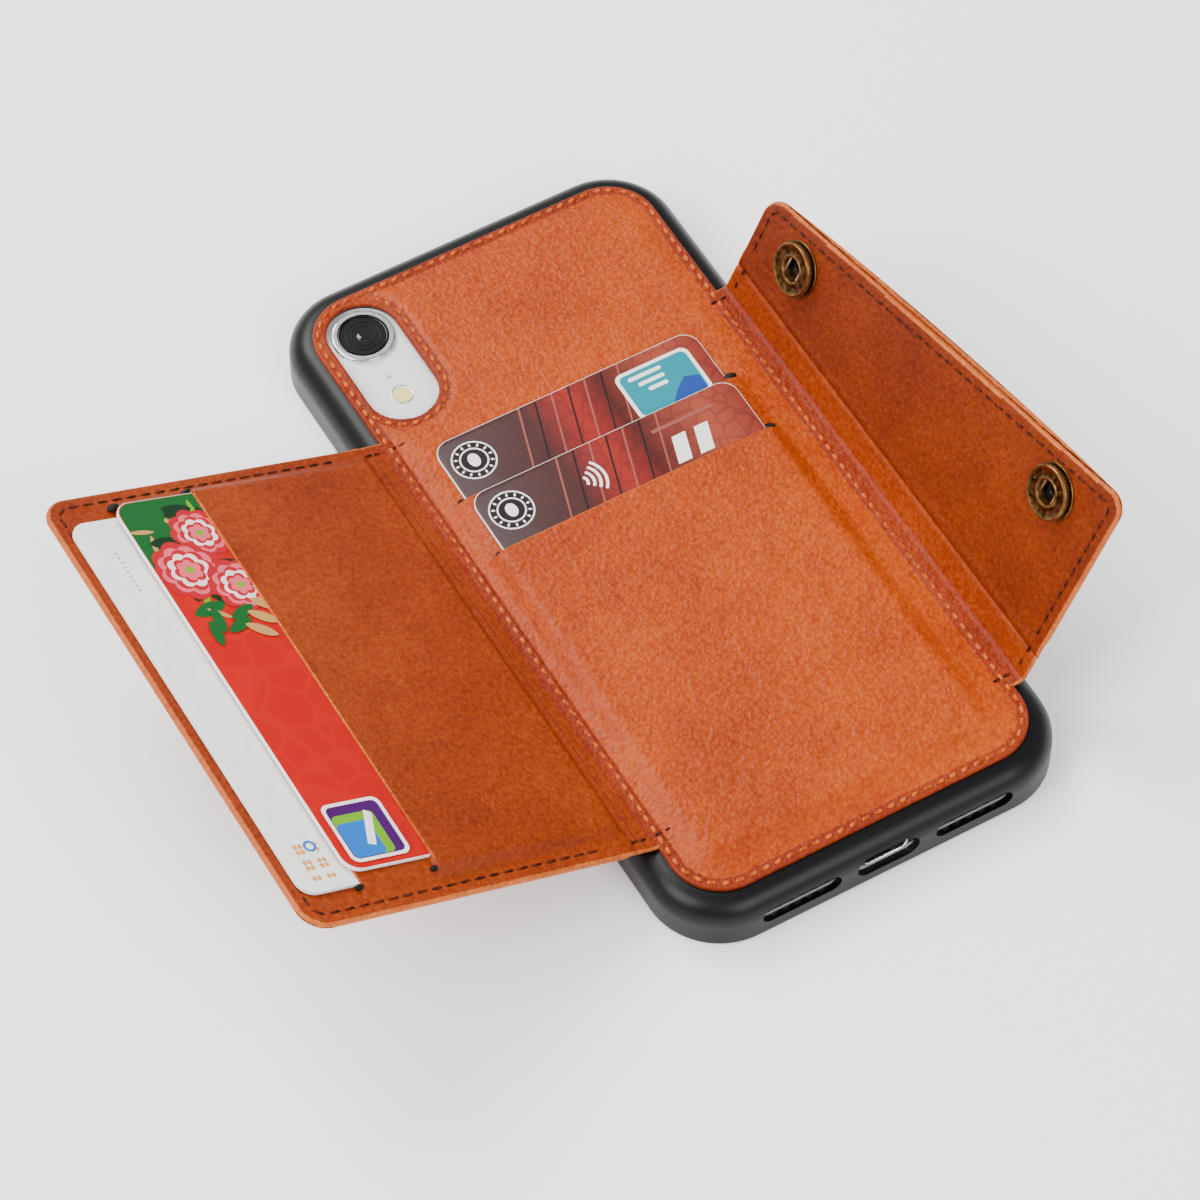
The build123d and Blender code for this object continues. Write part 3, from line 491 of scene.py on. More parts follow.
@dataclass(frozen=True)
class Metal:
    """Plated or anodised metal, darker in its hollows and brighter on its rims: patina and rubbing on the antique
    brass, painted shade and painted highlight on the steel and aluminium.
    """

    name: str
    dark: str
    light: str
    roughness: float
    patch_mm: float = 1.2

    def material(self) -> bpy.types.Material:
        """Build the material."""
        material, tree, shader = blank(self.name)
        place = node(tree, "ShaderNodeTexCoord").outputs["Object"]
        patch = node(tree, "ShaderNodeTexNoise", {"Vector": place, "Scale": per_mm(self.patch_mm), "Detail": 5.0})
        # darker hollows and paler rims from pointiness: patina and rubbing on the brass, painted shade and painted
        # highlight on the steel and aluminium
        worn = node(tree, "ShaderNodeNewGeometry").outputs["Pointiness"]
        edge = node(tree, "ShaderNodeMapRange", {0: worn, 1: 0.42, 2: 0.58, 3: -0.25, 4: 0.3})
        total = node(tree, "ShaderNodeMath", {0: patch.outputs[0], 1: edge.outputs[0]}, operation="ADD")
        colour = node(tree, "ShaderNodeValToRGB", {0: total.outputs[0]}, ((0.3, self.dark), (0.72, self.light)))
        shine = node(tree, "ShaderNodeMapRange", {0: patch.outputs[0], 3: self.roughness + 0.12,
                                                  4: self.roughness - 0.06})
        tree.links.new(colour.outputs[0], shader.inputs["Base Color"])
        tree.links.new(shine.outputs[0], shader.inputs["Roughness"])
        shader.inputs["Metallic"].default_value = 1.0
        return material


@dataclass(frozen=True)
class Thread:
    """Waxed polyester thread or woven lining: fine twisted strands."""

    name: str
    dark: str
    light: str
    strand_mm: float = 0.22
    relief_mm: float = 0.05
    roughness: float = 0.6
    ior: float = 1.25

    def material(self) -> bpy.types.Material:
        """Build the material."""
        material, tree, shader = blank(self.name)
        place = node(tree, "ShaderNodeTexCoord").outputs["Object"]
        turn = node(tree, "ShaderNodeMapping", {"Vector": place, "Rotation": (0.4, 0.3, 0.8)})
        strand = node(tree, "ShaderNodeTexWave", {"Vector": turn.outputs[0], "Scale": per_mm(self.strand_mm) / 20,
                                                  "Distortion": 1.5, "Detail": 1.0})
        # painted highlight: the lighter strand bands stand for glints on the twist
        colour = node(tree, "ShaderNodeValToRGB", {0: strand.outputs["Fac"]},
                      ((0.1, self.dark), (0.8, self.light)))
        bump = node(tree, "ShaderNodeBump", {"Height": strand.outputs["Fac"], "Strength": 0.4,
                                             "Distance": self.relief_mm * MM})
        tree.links.new(colour.outputs[0], shader.inputs["Base Color"])
        tree.links.new(bump.outputs[0], shader.inputs["Normal"])
        shader.inputs["Roughness"].default_value = self.roughness
        shader.inputs["IOR"].default_value = self.ior
        return material


@dataclass(frozen=True)
class PrintedCard:
    """Laminated PVC card whose print fades from colour to colour along one side, under gloss."""

    name: str
    stops: tuple[tuple[float, str], ...]
    line_colour: str = ""
    line_mm: float = 1.8
    line_share: float = 0.4
    width_mm: float = 54.0
    roughness: float = 0.34
    ior: float = 1.33

    def material(self) -> bpy.types.Material:
        """Build the material: the fade runs along the card's own first UV coordinate."""
        material, tree, shader = blank(self.name)
        spot = node(tree, "ShaderNodeUVMap", uv_map="card").outputs[0]
        parts = node(tree, "ShaderNodeSeparateXYZ", {0: spot})
        colour = node(tree, "ShaderNodeValToRGB", {0: parts.outputs[0]}, self.stops).outputs[0]
        if self.line_colour:
            cells = node(tree, "ShaderNodeTexVoronoi", {"Vector": spot, "Scale": self.width_mm / self.line_mm},
                         feature="DISTANCE_TO_EDGE")
            line = node(tree, "ShaderNodeMapRange", {0: cells.outputs[0], 1: 0.03, 2: 0.09, 3: self.line_share,
                                                     4: 0.0})
            mix = node(tree, "ShaderNodeMix", {"Factor": line.outputs[0], 6: colour, 7: linear(self.line_colour)},
                       data_type="RGBA")
            colour = mix.outputs[2]
        tree.links.new(colour, shader.inputs["Base Color"])
        shader.inputs["Roughness"].default_value = self.roughness
        shader.inputs["IOR"].default_value = self.ior
        return material


class Look(Enum):
    """Every finish of the case and what is in it."""

    # embossed skin over foam: warm orange tan with a soft sheen on the pebbles
    BACK = Leather("polyurethane leather, padded back", "842800", "a23c00", "b9540e")
    # the same skin unpadded, waxed and duller; its darker colours are painted shade where the flaps turn from the
    # light, darkest on the clasp
    FLAP = Leather("polyurethane leather, card flap", "6a1e00", "8a3000", "a34304", roughness=0.54, grain_depth=0.6)
    CLASP = Leather("polyurethane leather, clasp", "561600", "732600", "8b3602", roughness=0.56, grain_depth=0.6)
    # pressed flat by the sewing and darker along the margin and the window's turned edge; painted shade where it
    # darkens the hinge band between the back's stitches and the crease; pale and dry where the knife cut it
    MARGIN = Leather("polyurethane leather, sewn margin", "661800", "802500", "983708", roughness=0.5)
    EDGE = Leather("polyurethane leather, cut edge", "a04410", "ba5c22", "cf7a42", roughness=0.55)
    # spark eroded mould: deep black that catches only a broad grey gleam
    BUMPER = Plastic("thermoplastic polyurethane, satin moulded", "020202", 0.38, depth=0.06, ior=1.33)
    # twisted strands: short dull glints painted lighter along black cloth and the stitches
    LINING = Thread("woven polyester lining, black", "060606", "1a1a1a", 0.5)
    TAN_THREAD = Thread("waxed polyester thread, tan", "983c0c", "bc5c24")
    DARK_THREAD = Thread("waxed polyester thread, brown", "240902", "521a06")
    # dark in the stamped hollows and golden on the rubbed rims, with a bright spring inside
    BRASS = Metal("antique plated brass", "241708", "7c5c34", 0.36)
    WIRE = Metal("nickel plated spring steel", "8a8378", "e6e0d4", 0.18)
    # bead blasted and anodised: a pale smooth band round the phone
    SILVER = Metal("anodised aluminium, silver", "8f9094", "e4e5e7", 0.16)
    # polished sheets: crisp reflections over flat white or black
    WHITE_GLASS = Plastic("aluminosilicate glass, white backed", "e4e5e5", 0.12, depth=0.0, coat=0.5)
    BLACK_GLASS = Plastic("aluminosilicate glass, black backed", "020203", 0.08, depth=0.0, ior=1.33)
    # matt rings round a dark glass bead, and a pale yellow frosted window
    LENS_RING = Plastic("anodised lens barrel, black", "030303", 0.3, ior=1.3)
    LENS_GLASS = Plastic("optical glass, coated", "04060c", 0.05, depth=0.0, ior=1.5)
    FLASH = Plastic("polycarbonate flash diffuser", "e8d98c", 0.25, depth=0.3, coat=0.6)
    # pressed fibre, seen only as a dull line in the flaps
    BOARD = Plastic("grey chipboard", "8a8276", 0.8, texture_mm=0.6, depth=0.4)
    # print under a thin clear film: even gloss over clouded colour with fine lines
    CARD_MAROON = PrintedCard("laminated polyvinyl chloride, dark red print",
                              ((0.0, "2c0c0a"), (0.34, "3c0f0c"), (0.5, "8e1a12"),
                               (0.62, "4a120e"), (0.86, "94402f"), (1.0, "7a2a20")),
                              "1c0807", 3.4, 0.25)
    CARD_RED = PrintedCard("laminated polyvinyl chloride, red print",
                           ((0.0, "a80000"), (1.0, "b20000")), "cc1404", 6.5, 0.25)
    CARD_WHITE = PrintedCard("laminated polyvinyl chloride, white print",
                             ((0.0, "ebebe9"), (1.0, "f1f1ef")), "dddddc", 5.0, 0.3)
    # flat inks under the same film
    PRINT_WHITE = Ink("white print", "f2efe9")
    PRINT_PALE = Ink("pale print", "8c4a40")
    PRINT_TEAL = Ink("teal print", "00808e")
    PRINT_BLUE = Ink("blue print", "1d3f8c")
    PRINT_SKY = Ink("sky print", "0068c0")
    PRINT_GREEN = Ink("leaf green print", "0a5520")
    PRINT_DEEP = Ink("deep green print", "032a10")
    PRINT_LIME = Ink("lime print", "68a400")
    PRINT_PURPLE = Ink("purple print", "420058")
    PRINT_ROSE = Ink("rose print", "b00a20")
    PRINT_PINK = Ink("pink print", "e05868")
    PRINT_BLUSH = Ink("blush print", "fbdcdc")
    PRINT_TAN = Ink("tan print", "b88a4e")
    PRINT_ORANGE = Ink("orange print", "e09440")
    PRINT_GREY = Ink("grey print", "b4b4b4")
    PRINT_BLACK = Ink("black print", "1b1011")

    @property
    def made(self) -> bpy.types.Material:
        """The Blender material, made once."""
        found = bpy.data.materials.get(self.value.name)
        return found or self.value.material()


def dress(name: str, look: Look) -> None:
    """Give a CAD node its finish."""
    piece = bpy.data.objects[name]
    piece.data.materials.clear()
    piece.data.materials.append(look.made)


# ------------------------------------------------------------------ where things are
@dataclass(frozen=True)
class CaseFrame:
    """Places that all the leather shares, in millimetres, read from the CAD nodes and joints."""

    half_w: float
    half_l: float
    margin_z: float
    plate_z: float
    corner: float = 9.6
    window_x: float = -25.75
    window_low: float = 48.65
    window_high: float = 63.35
    window_r: float = 6.7
    stitch_inset: float = 1.05

    @staticmethod
    def read() -> "CaseFrame":
        """Read the boxes of the leather back and its stitches."""
        low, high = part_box("back_leather")
        thread_low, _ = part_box("margin_stitching")
        return CaseFrame(half_w=35.15, half_l=high.y / MM, margin_z=thread_low.z / MM, plate_z=low.z / MM)

    def inset(self, points: Grid) -> Grid:
        """How far in from the panel's outline each point is.

        Args:
            points: an n by 2 array.

        Returns:
            One distance for each point, negative outside.
        """
        q = np.abs(points) - np.array([self.half_w - self.corner, self.half_l - self.corner])
        outside = np.linalg.norm(np.maximum(q, 0), axis=1)
        inside = np.minimum(np.maximum(q[:, 0], q[:, 1]), 0)
        return self.corner - outside - inside

    def past_window(self, points: Grid) -> Grid:
        """How far each point is from the camera window's edge."""
        y = np.clip(points[:, 1], self.window_low, self.window_high)
        return np.hypot(points[:, 0] - self.window_x, points[:, 1] - y) - self.window_r


@dataclass(frozen=True)
class Fold:
    """The turned path of a flap's leather: flat on the back, round the crease, out along the flap."""

    side: int
    crease_x: float
    crease_z: float
    tilt: float
    bend: float
    round_by: float = 0.9

    @property
    def out(self) -> Grid:
        """Unit direction away from the crease."""
        a = math.radians(self.tilt)
        return np.array([self.side * math.cos(a), 0.0, math.sin(a)])

    @property
    def up(self) -> Grid:
        """Unit direction out of the flap's inner face."""
        a = math.radians(self.tilt)
        return np.array([-self.side * math.sin(a), 0.0, math.cos(a)])

    def place(self, s: Grid, y: Grid, h: Grid) -> Grid:
        """Points at distance s past the crease, y along it and h above the inner face.

        Args:
            s: distances past the crease, negative on the back.
            y: places along the crease.
            h: heights above the inner face.

        Returns:
            The points in three dimensions.
        """
        s, y, h = np.broadcast_arrays(np.asarray(s, float), np.asarray(y, float), np.asarray(h, float))
        r = self.round_by
        corner = np.array([self.crease_x, 0.0, self.crease_z])
        flat = np.array([self.side * 1.0, 0.0, 0.0])
        t = np.clip((s + r) / (2 * r), 0, 1)[..., None]
        before, after = corner - flat * r, corner + self.out * r
        curve = (1 - t) ** 2 * before + 2 * t * (1 - t) * corner + t ** 2 * after
        curve = curve + flat * np.minimum(s + r, 0)[..., None] + self.out * np.maximum(s - r, 0)[..., None]
        way = (1 - t) * flat + t * self.out
        way /= np.linalg.norm(way, axis=-1)[..., None]
        up = np.stack([-way[..., 2] * self.side, np.zeros_like(s), way[..., 0] * self.side], -1)
        curve = curve + up * h[..., None]
        curve[..., 1] += y
        return curve

    def joint_point(self, s: float) -> tuple[float, float, float]:
        """A point on the leather in metres."""
        return tuple(float(c) * MM for c in self.place(np.array(s), np.array(0.0), np.array(0.0)))


FINE = (0, 0.05, 0.12, 0.22, 0.35, 0.5, 0.7, 1.0, 1.35, 1.7, 2.1, 2.5, 3.0, 3.5, 4.0, 4.6, 5.3, 6.0)


def graded(low: float, high: float, coarse: float, extra: Sequence[float] = ()) -> Grid:
    """Coordinates from low to high, close together near both ends.

    Args:
        low: first.
        high: last.
        coarse: spacing in the middle.
        extra: places that must be included.

    Returns:
        A sorted array.
    """
    middle = np.arange(low + FINE[-1] + coarse, high - FINE[-1] - coarse / 2, coarse)
    every = np.concatenate([[low + f for f in FINE], middle, [high - f for f in FINE], list(extra)])
    return np.unique(np.round(every, 4))


# ------------------------------------------------------------------ leather back
@dataclass
class BackPanel:
    """The padded leather back with two card slots and the stitched camera window."""

    case: CaseFrame
    card_x: float = -1.2
    card_half: float = 27.14
    foot: float = -66.0
    slot_low: float = 6.85
    slot_high: float = 20.45
    low_rise: tuple[float, float] = (2.537, 0.02101)
    high_rise: tuple[float, float] = (1.49, 0.01422)
    ridge: float = 0.3
    field_height: float = 0.34
    seam_to_field: float = 2.3
    edge_round: float = 0.42
    margin: float = 2.1
    ridge_out: float = 3.1
    ridge_wide: float = 1.2
    field_ease: float = 3.6
    press_in: float = 2.15
    press_wide: float = 0.34
    press_deep: float = 0.13
    groove_wide: float = 0.42
    groove_deep: float = 0.09
    window_row: float = 0.35
    lip_wide: float = 0.22
    lip_deep: float = 0.16
    side_ease: float = 3.8
    foot_ease: float = 3.4

    def height(self, points: Grid) -> Grid:
        """Height of the leather above the margin.

        Args:
            points: an n by 2 array.

        Returns:
            One height for each point.
        """
        case = self.case
        from_edge = case.inset(points)
        from_window = case.past_window(points)
        near = np.minimum(from_edge, from_window)
        lip = self.ridge * np.exp(-((from_window - self.ridge_out) / self.ridge_wide) ** 2)
        field = self.field_height * smooth((near - self.seam_to_field) / self.field_ease)
        height = field + np.where(from_edge > 2, lip, 0)
        height -= self.press_deep * np.exp(-((near - self.press_in) / self.press_wide) ** 2)
        sewn = np.minimum(np.abs(from_edge - case.stitch_inset),
                          np.abs(from_window - case.stitch_inset - self.window_row))
        height -= self.groove_deep * np.exp(-(sewn / self.groove_wide) ** 2)
        height += self.pocket(points, height)
        drop = np.clip(1 - np.minimum(from_edge, from_window) / self.edge_round, 0, 1)
        return height - self.edge_round * (1 - np.sqrt(np.maximum(1 - drop ** 2, 0)))

    def pocket(self, points: Grid, ground: Grid) -> Grid:
        """Extra height over the cards, dropping at each slot.

        Args:
            points: an n by 2 array.
            ground: the height that the leather has without cards.

        Returns:
            What is added at each point.
        """
        x, y = points[:, 0], points[:, 1]
        lower = self.low_rise[0] + self.low_rise[1] * (y - self.slot_low)
        upper = self.high_rise[0] + self.high_rise[1] * (y - self.slot_high)
        over = np.where(y <= self.slot_low, lower, np.where(y <= self.slot_high, upper, 0.0))
        from_slot = np.where(y <= self.slot_low, self.slot_low - y, self.slot_high - y)
        lip = np.where((from_slot >= 0) & (from_slot < self.lip_wide),
                       self.lip_deep * (1 - from_slot / self.lip_wide) ** 2, 0.0)
        across = np.abs(x - self.card_x)
        spread = 1 - smooth((across - self.card_half + 0.2) / self.side_ease)
        end = smooth((y - self.foot + 1.6) / self.foot_ease)
        return np.where(over > 0, np.maximum(over - lip - ground, 0) * spread * end, 0.0)

    def build(self) -> None:
        """Make the leather and its rolled window edge."""
        case = self.case
        rows = []
        for slot in (self.slot_low, self.slot_high):
            rows += [slot - 0.22, slot - 0.12, slot - 0.05, slot, slot + 0.012, slot + 0.3]
        xs = graded(-case.half_w, case.half_w, 0.62)
        ys = graded(-case.half_l, case.half_l, 0.7, rows)
        gx, gy = np.meshgrid(xs, ys)
        flat = np.stack([gx.ravel(), gy.ravel()], 1)
        inner = np.array([case.half_w - case.corner, case.half_l - case.corner])
        past = np.clip((np.abs(flat) - inner) / case.corner, 0, 1)
        curved = np.stack([past[:, 0] * np.sqrt(1 - past[:, 1] ** 2 / 2),
                           past[:, 1] * np.sqrt(1 - past[:, 0] ** 2 / 2)], 1)
        both = (past > 0).all(1)
        flat[both] = (np.sign(flat) * (inner + curved * case.corner))[both]
        top = np.column_stack([flat, case.margin_z + self.height(flat)])
        n_y, n_x = len(ys), len(xs)
        index = np.arange(n_y * n_x).reshape(n_y, n_x)
        faces = [(index[i, j], index[i, j + 1], index[i + 1, j + 1], index[i + 1, j])
                 for i in range(n_y - 1) for j in range(n_x - 1)]
        border = list(index[0, :]) + list(index[1:, -1]) + list(index[-1, -2::-1]) + list(index[-2:0:-1, 0])
        low = top[border].copy()
        low[:, 2] = case.plate_z + 0.01
        start = len(top)
        count = len(border)
        faces += [(border[k], border[(k + 1) % count], start + (k + 1) % count, start + k) for k in range(count)]
        faces.append(tuple(range(start, start + count)))
        leather = mesh_piece("back_leather_skin", np.vstack([top, low]), faces)
        self.cut_window(leather)
        finished(leather, "case", Look.BACK.made, ["back_leather"])
        leather.data.materials.append(Look.MARGIN.made)
        middles = face_middles(leather)
        sewn = np.minimum(case.inset(middles[:, :2]), case.past_window(middles[:, :2])) < self.margin
        leather.data.polygons.foreach_set("material_index", sewn.astype(int))
        self.roll_window_edge()
        self.line_slots()
        dress("back_pocket_lining", Look.LINING)

    def cut_window(self, leather: bpy.types.Object) -> None:
        """Cut the camera window right through.

        Args:
            leather: the padded sheet.
        """
        case = self.case
        outline = stadium(case.window_x, case.window_low, case.window_high, case.window_r + 0.05)
        count = len(outline)
        low = np.column_stack([outline, np.full(count, case.plate_z - 3)])
        high = np.column_stack([outline, np.full(count, case.margin_z + 4)])
        faces = [(k, (k + 1) % count, count + (k + 1) % count, count + k) for k in range(count)]
        faces += [tuple(range(count)), tuple(range(count, 2 * count))]
        cutter = mesh_piece("window_cutter", np.vstack([low, high]), faces)
        hole = leather.modifiers.new("window", "BOOLEAN")
        hole.operation, hole.object, hole.solver = "DIFFERENCE", cutter, "EXACT"
        apply_modifiers(leather)
        bpy.data.objects.remove(cutter)
        shade(leather, 50)

    def roll_window_edge(self) -> None:
        """The turned leather edge round the window, down to the bumper's plate."""
        case = self.case
        outline = stadium(case.window_x, case.window_low, case.window_high, case.window_r)
        path = np.column_stack([outline, np.full(len(outline), case.margin_z)])
        up = np.tile([0.0, 0.0, 1.0], (len(path), 1))
        deep = case.margin_z - case.plate_z
        section = [(-0.5 + 0.5 * math.cos(a), -0.5 + 0.5 * math.sin(a)) for a in np.radians(np.linspace(0, 100, 8))]
        section += [(-0.6, -0.3), (-0.6, -deep + 0.02), (0.0, -deep + 0.02)]
        edge = sweep("window_turned_edge", path, up, np.array(section))
        finished(edge, "case", Look.MARGIN.made)

    def line_slots(self) -> None:
        """Black lining that peeps out at the ends of each slot, and the slots' cut edges."""
        bits = []
        for slot, rise in ((self.slot_low, self.low_rise), (self.slot_high, self.high_rise)):
            for side, size in ((1, 1.3), (-1, 0.7)):
                x = self.card_x + side * (self.card_half + 0.75)
                z = self.case.margin_z + rise[0] * 0.55
                bits.append(lining_tuft(x, slot + 0.35 * size, z, size, "slot"))
            z = self.case.margin_z + rise[0] - 0.26
            ends = np.array([[self.card_x - self.card_half, slot - 0.06, z], [self.card_x, slot - 0.06, z],
                             [self.card_x + self.card_half, slot - 0.06, z]])
            cut_edge(f"back_slot_edge_{int(slot)}", ends, np.array([0.0, 0.0, 1.0]), "case")
        piece = join(bits, "back_slot_lining")
        finished(piece, "case", Look.LINING.made)


def cut_edge(name: str, path: Grid, up: Grid, body: str) -> None:
    """The raw cut edge of a slot's leather, paler than its skin.

    Args:
        name: the piece's name.
        path: its run.
        up: direction out of the leather.
        body: the body that it moves with.
    """
    turn = np.linspace(0, 2 * np.pi, 9)[:-1]
    section = np.stack([0.16 * np.cos(turn), 0.3 * np.sin(turn)], 1)
    edge = sweep(name, path, np.tile(up, (len(path), 1)), section, closed=False)
    finished(edge, body, Look.EDGE.made)


def lining_tuft(x: float, y: float, z: float, size: float, name: str) -> bpy.types.Object:
    """A small crumple of lining cloth at a place.

    Args:
        x: its middle, and so with y and z.
        y: along the case.
        z: up.
        size: its half width, nearly.
        name: the piece's name.

    Returns:
        The crumple, not yet tied to a body.
    """
    bpy.ops.object.select_all(action="DESELECT")
    bpy.ops.mesh.primitive_ico_sphere_add(subdivisions=3, radius=MM, location=(0, 0, 0))
    piece = bpy.context.object
    piece.name = name
    for vertex in piece.data.vertices:
        c = vertex.co / MM
        wave = 1 + 0.18 * math.sin(7 * c.x + 3) * math.cos(6 * c.y)
        vertex.co = Vector((x + c.x * 0.95 * size * wave, y + c.y * 0.62 * size * wave,
                            z + c.z * 0.45 * size)) * MM
    return piece


@dataclass
class BackSewing:
    """Tan stitches round the panel and round the free side of the camera window."""

    case: CaseFrame
    pitch: float = 2.5
    size: tuple[float, float, float] = (0.9, 0.4, 0.34)

    def build(self) -> None:
        """Sew both rows."""
        case = self.case
        inset = case.stitch_inset
        outline = rounded_rectangle(case.half_w - inset, case.half_l - inset, case.corner - inset)
        path = np.column_stack([outline, np.full(len(outline), case.margin_z - 0.02)])
        places, ways = spaced(path, self.pitch, True)
        ups = np.tile([0.0, 0.0, 1.0], (len(places), 1))
        row = stitches("margin_stitches", places, ways, ups, self.size, 0.1)
        finished(row, "case", Look.TAN_THREAD.made, ["margin_stitching"])
        ring = stadium(case.window_x, case.window_low, case.window_high, case.window_r + inset + 0.35)
        path = np.column_stack([ring, np.full(len(ring), case.margin_z - 0.02)])
        places, ways = spaced(path, self.pitch, True)
        clear = case.inset(places[:, :2]) > inset + 0.9
        places, ways = places[clear], ways[clear]
        ups = np.tile([0.0, 0.0, 1.0], (len(places), 1))
        row = stitches("window_stitches", places, ways, ups, self.size, 0.1)
        finished(row, "case", Look.TAN_THREAD.made, ["window_stitching"])


# ------------------------------------------------------------------ flaps
DOUBLED = 1.5  # two skins and a board
SINGLE = 0.8  # one skin, where the leather folds
FLAP_PITCH = 2.9
FLAP_STITCH = (1.2, 0.27, 0.2)
END_STITCH = (0.8, 0.27, 0.2)


def sheet_faces(rows: int, columns: int, walls: Sequence[int]) -> list[tuple[int, ...]]:
    """Quads of a two-sided sheet whose lower points follow its upper ones.

    Args:
        rows: rows of points on one side.
        columns: points in a row.
        walls: rows along which the two sides are joined.

    Returns:
        Corner lists.
    """
    count = rows * columns
    index = np.arange(count).reshape(rows, columns)
    faces = []
    for i in range(rows - 1):
        for j in range(columns - 1):
            a, b, c, d = index[i, j], index[i, j + 1], index[i + 1, j + 1], index[i + 1, j]
            faces += [(a, b, c, d), (count + a, count + d, count + c, count + b)]
    for i in walls:
        faces += [(index[i, j], index[i, j + 1], count + index[i, j + 1], count + index[i, j])
                  for j in range(columns - 1)]
    return faces


@dataclass
class Flap:
    """One flap: a doubled sheet of leather with a rolled edge, single where it turns at the crease."""

    fold: Fold
    low_y: float
    high_y: float
    corner: float
    thick: float
    thin: float
    edge_at: Callable[[Grid], Grid]
    relief: Callable[[Grid, Grid], Grid]
    rows: Sequence[float]
    start: float
    wavy: float = 0.0
    edge_shown: float = 0.5
    # painted highlight: how far past the crease the lighter flap skin reaches
    painted_highlight_until: float = 0.0

    def reach(self, e: Grid) -> Grid:
        """How much a row is shortened at each end by the corner's rounding."""
        r = self.corner
        part = np.clip(r - e, 0, r)
        return r - np.sqrt(r * r - part * part)

    def outline(self) -> Grid:
        """The free edges, from the fold along the low end, the outer edge and the high end."""
        rounding = self.corner * (1 - np.sin(np.linspace(0, np.pi / 2, 16)))
        e = np.concatenate([np.linspace(75, self.corner, 12), rounding])
        short = self.reach(e)
        low = self.low_y + short
        high = self.high_y - short
        first = np.stack([self.edge_at(low) - e, low], 1)
        last = np.stack([self.edge_at(high) - e, high], 1)[::-1]
        return np.vstack([first, last])

    def grid(self) -> tuple[Grid, Grid]:
        """Distances past the crease and along it for every point of the sheet."""
        share = (graded(self.low_y, self.high_y, 1.0) - self.low_y) / (self.high_y - self.low_y)
        near = [s for s in self.rows if s >= self.start]
        s_rows, y_rows = [], []
        for s in near:
            s_rows.append(np.full(len(share), s))
            y_rows.append(self.low_y + share * (self.high_y - self.low_y))
        last = near[-1]
        for t in np.linspace(0, 1, self.middle_rows(last) + 1)[1:-1]:
            y = self.low_y + share * (self.high_y - self.low_y)
            s_rows.append(last + t * (self.edge_at(y) - FINE[-1] - last))
            y_rows.append(y)
        for e in FINE[::-1]:
            short = float(self.reach(np.array(e)))
            y = self.low_y + short + share * (self.high_y - self.low_y - 2 * short)
            s_rows.append(self.edge_at(y) - e)
            y_rows.append(y)
        return np.array(s_rows), np.array(y_rows)

    def middle_rows(self, last: float) -> int:
        """Rows between the fixed ones and the outer edge."""
        return max(2, int((float(self.edge_at(np.array(self.low_y))) - FINE[-1] - last) / 1.0))

    def pale_edge(self, sheet: bpy.types.Object) -> None:
        """Show the rubbed, paler leather round the free edges, and a painted highlight: lighter flap skin on the
        band beside the fold.

        Args:
            sheet: the flap's finished sheet.
        """
        flat = place_along(sheet, self.fold)
        edge = distance_to(flat, self.outline(), closed=False) < self.edge_shown
        # painted highlight: faces nearer the fold than the set limit get the lighter flap skin
        look = np.where(edge, 1, np.where(flat[:, 0] < self.painted_highlight_until, 2, 0))
        sheet.data.materials.append(Look.EDGE.made)
        sheet.data.materials.append(Look.FLAP.made)
        sheet.data.polygons.foreach_set("material_index", look.astype(int))

    def build(self, name: str) -> bpy.types.Object:
        """Make the sheet.

        Args:
            name: the piece's name.

        Returns:
            The closed sheet, not yet tied to a body.
        """
        s, y = self.grid()
        flat = np.stack([s.ravel(), y.ravel()], 1)
        near = distance_to(flat, self.outline(), closed=False)
        grow = smooth((flat[:, 0] - self.fold.bend + 0.2) / 2.2)
        thick = self.thin + (self.thick - self.thin) * grow
        radius = thick / 2
        share = np.clip(1 - near / radius, 0, 1)
        bulge = np.sqrt(np.maximum(1 - share ** 2, 0))
        wave = 1 + self.wavy * np.sin(flat[:, 1] * 2 * np.pi / 3.0) * np.exp(-(near / 1.4) ** 2)
        top = -radius + radius * bulge * wave + self.relief(flat[:, 0], flat[:, 1])
        bottom = -radius - radius * bulge
        points = np.vstack([self.fold.place(flat[:, 0], flat[:, 1], top),
                            self.fold.place(flat[:, 0], flat[:, 1], bottom)])
        return mesh_piece(name, points, sheet_faces(*s.shape, (0,)))


def place_along(piece: bpy.types.Object, fold: Fold) -> Grid:
    """Each face's distance past the crease and along it."""
    middles = face_middles(piece)
    from_crease = middles - np.array([fold.crease_x, 0.0, fold.crease_z])
    return np.stack([from_crease @ fold.out, middles[:, 1]], 1)


def hinge_sheet(name: str, fold: Fold, low_y: float, high_y: float, start: float, end: float,
                thick: float) -> bpy.types.Object:
    """The strip of leather from the back's margin to the middle of the fold.

    Args:
        name: the piece's name.
        fold: the flap's turned path.
        low_y: lower end.
        high_y: upper end.
        start: distance past the crease where it starts, negative on the back.
        end: where the flap's own sheet takes over.
        thick: its thickness.

    Returns:
        The closed strip.
    """
    rows = np.unique(np.round(np.concatenate([np.arange(start, end, 0.22), [end]]), 4))
    cols = graded(low_y, high_y, 1.0)
    s, y = np.meshgrid(rows, cols, indexing="ij")
    near = np.minimum(y - low_y, high_y - y).ravel()
    radius = thick / 2
    share = np.clip(1 - near / radius, 0, 1)
    bulge = np.sqrt(np.maximum(1 - share ** 2, 0))
    lift = 0.035
    top = -radius + radius * bulge + lift
    bottom = -radius - radius * bulge + lift
    points = np.vstack([fold.place(s.ravel(), y.ravel(), top), fold.place(s.ravel(), y.ravel(), bottom)])
    return mesh_piece(name, points, sheet_faces(*s.shape, (0, s.shape[0] - 1)))


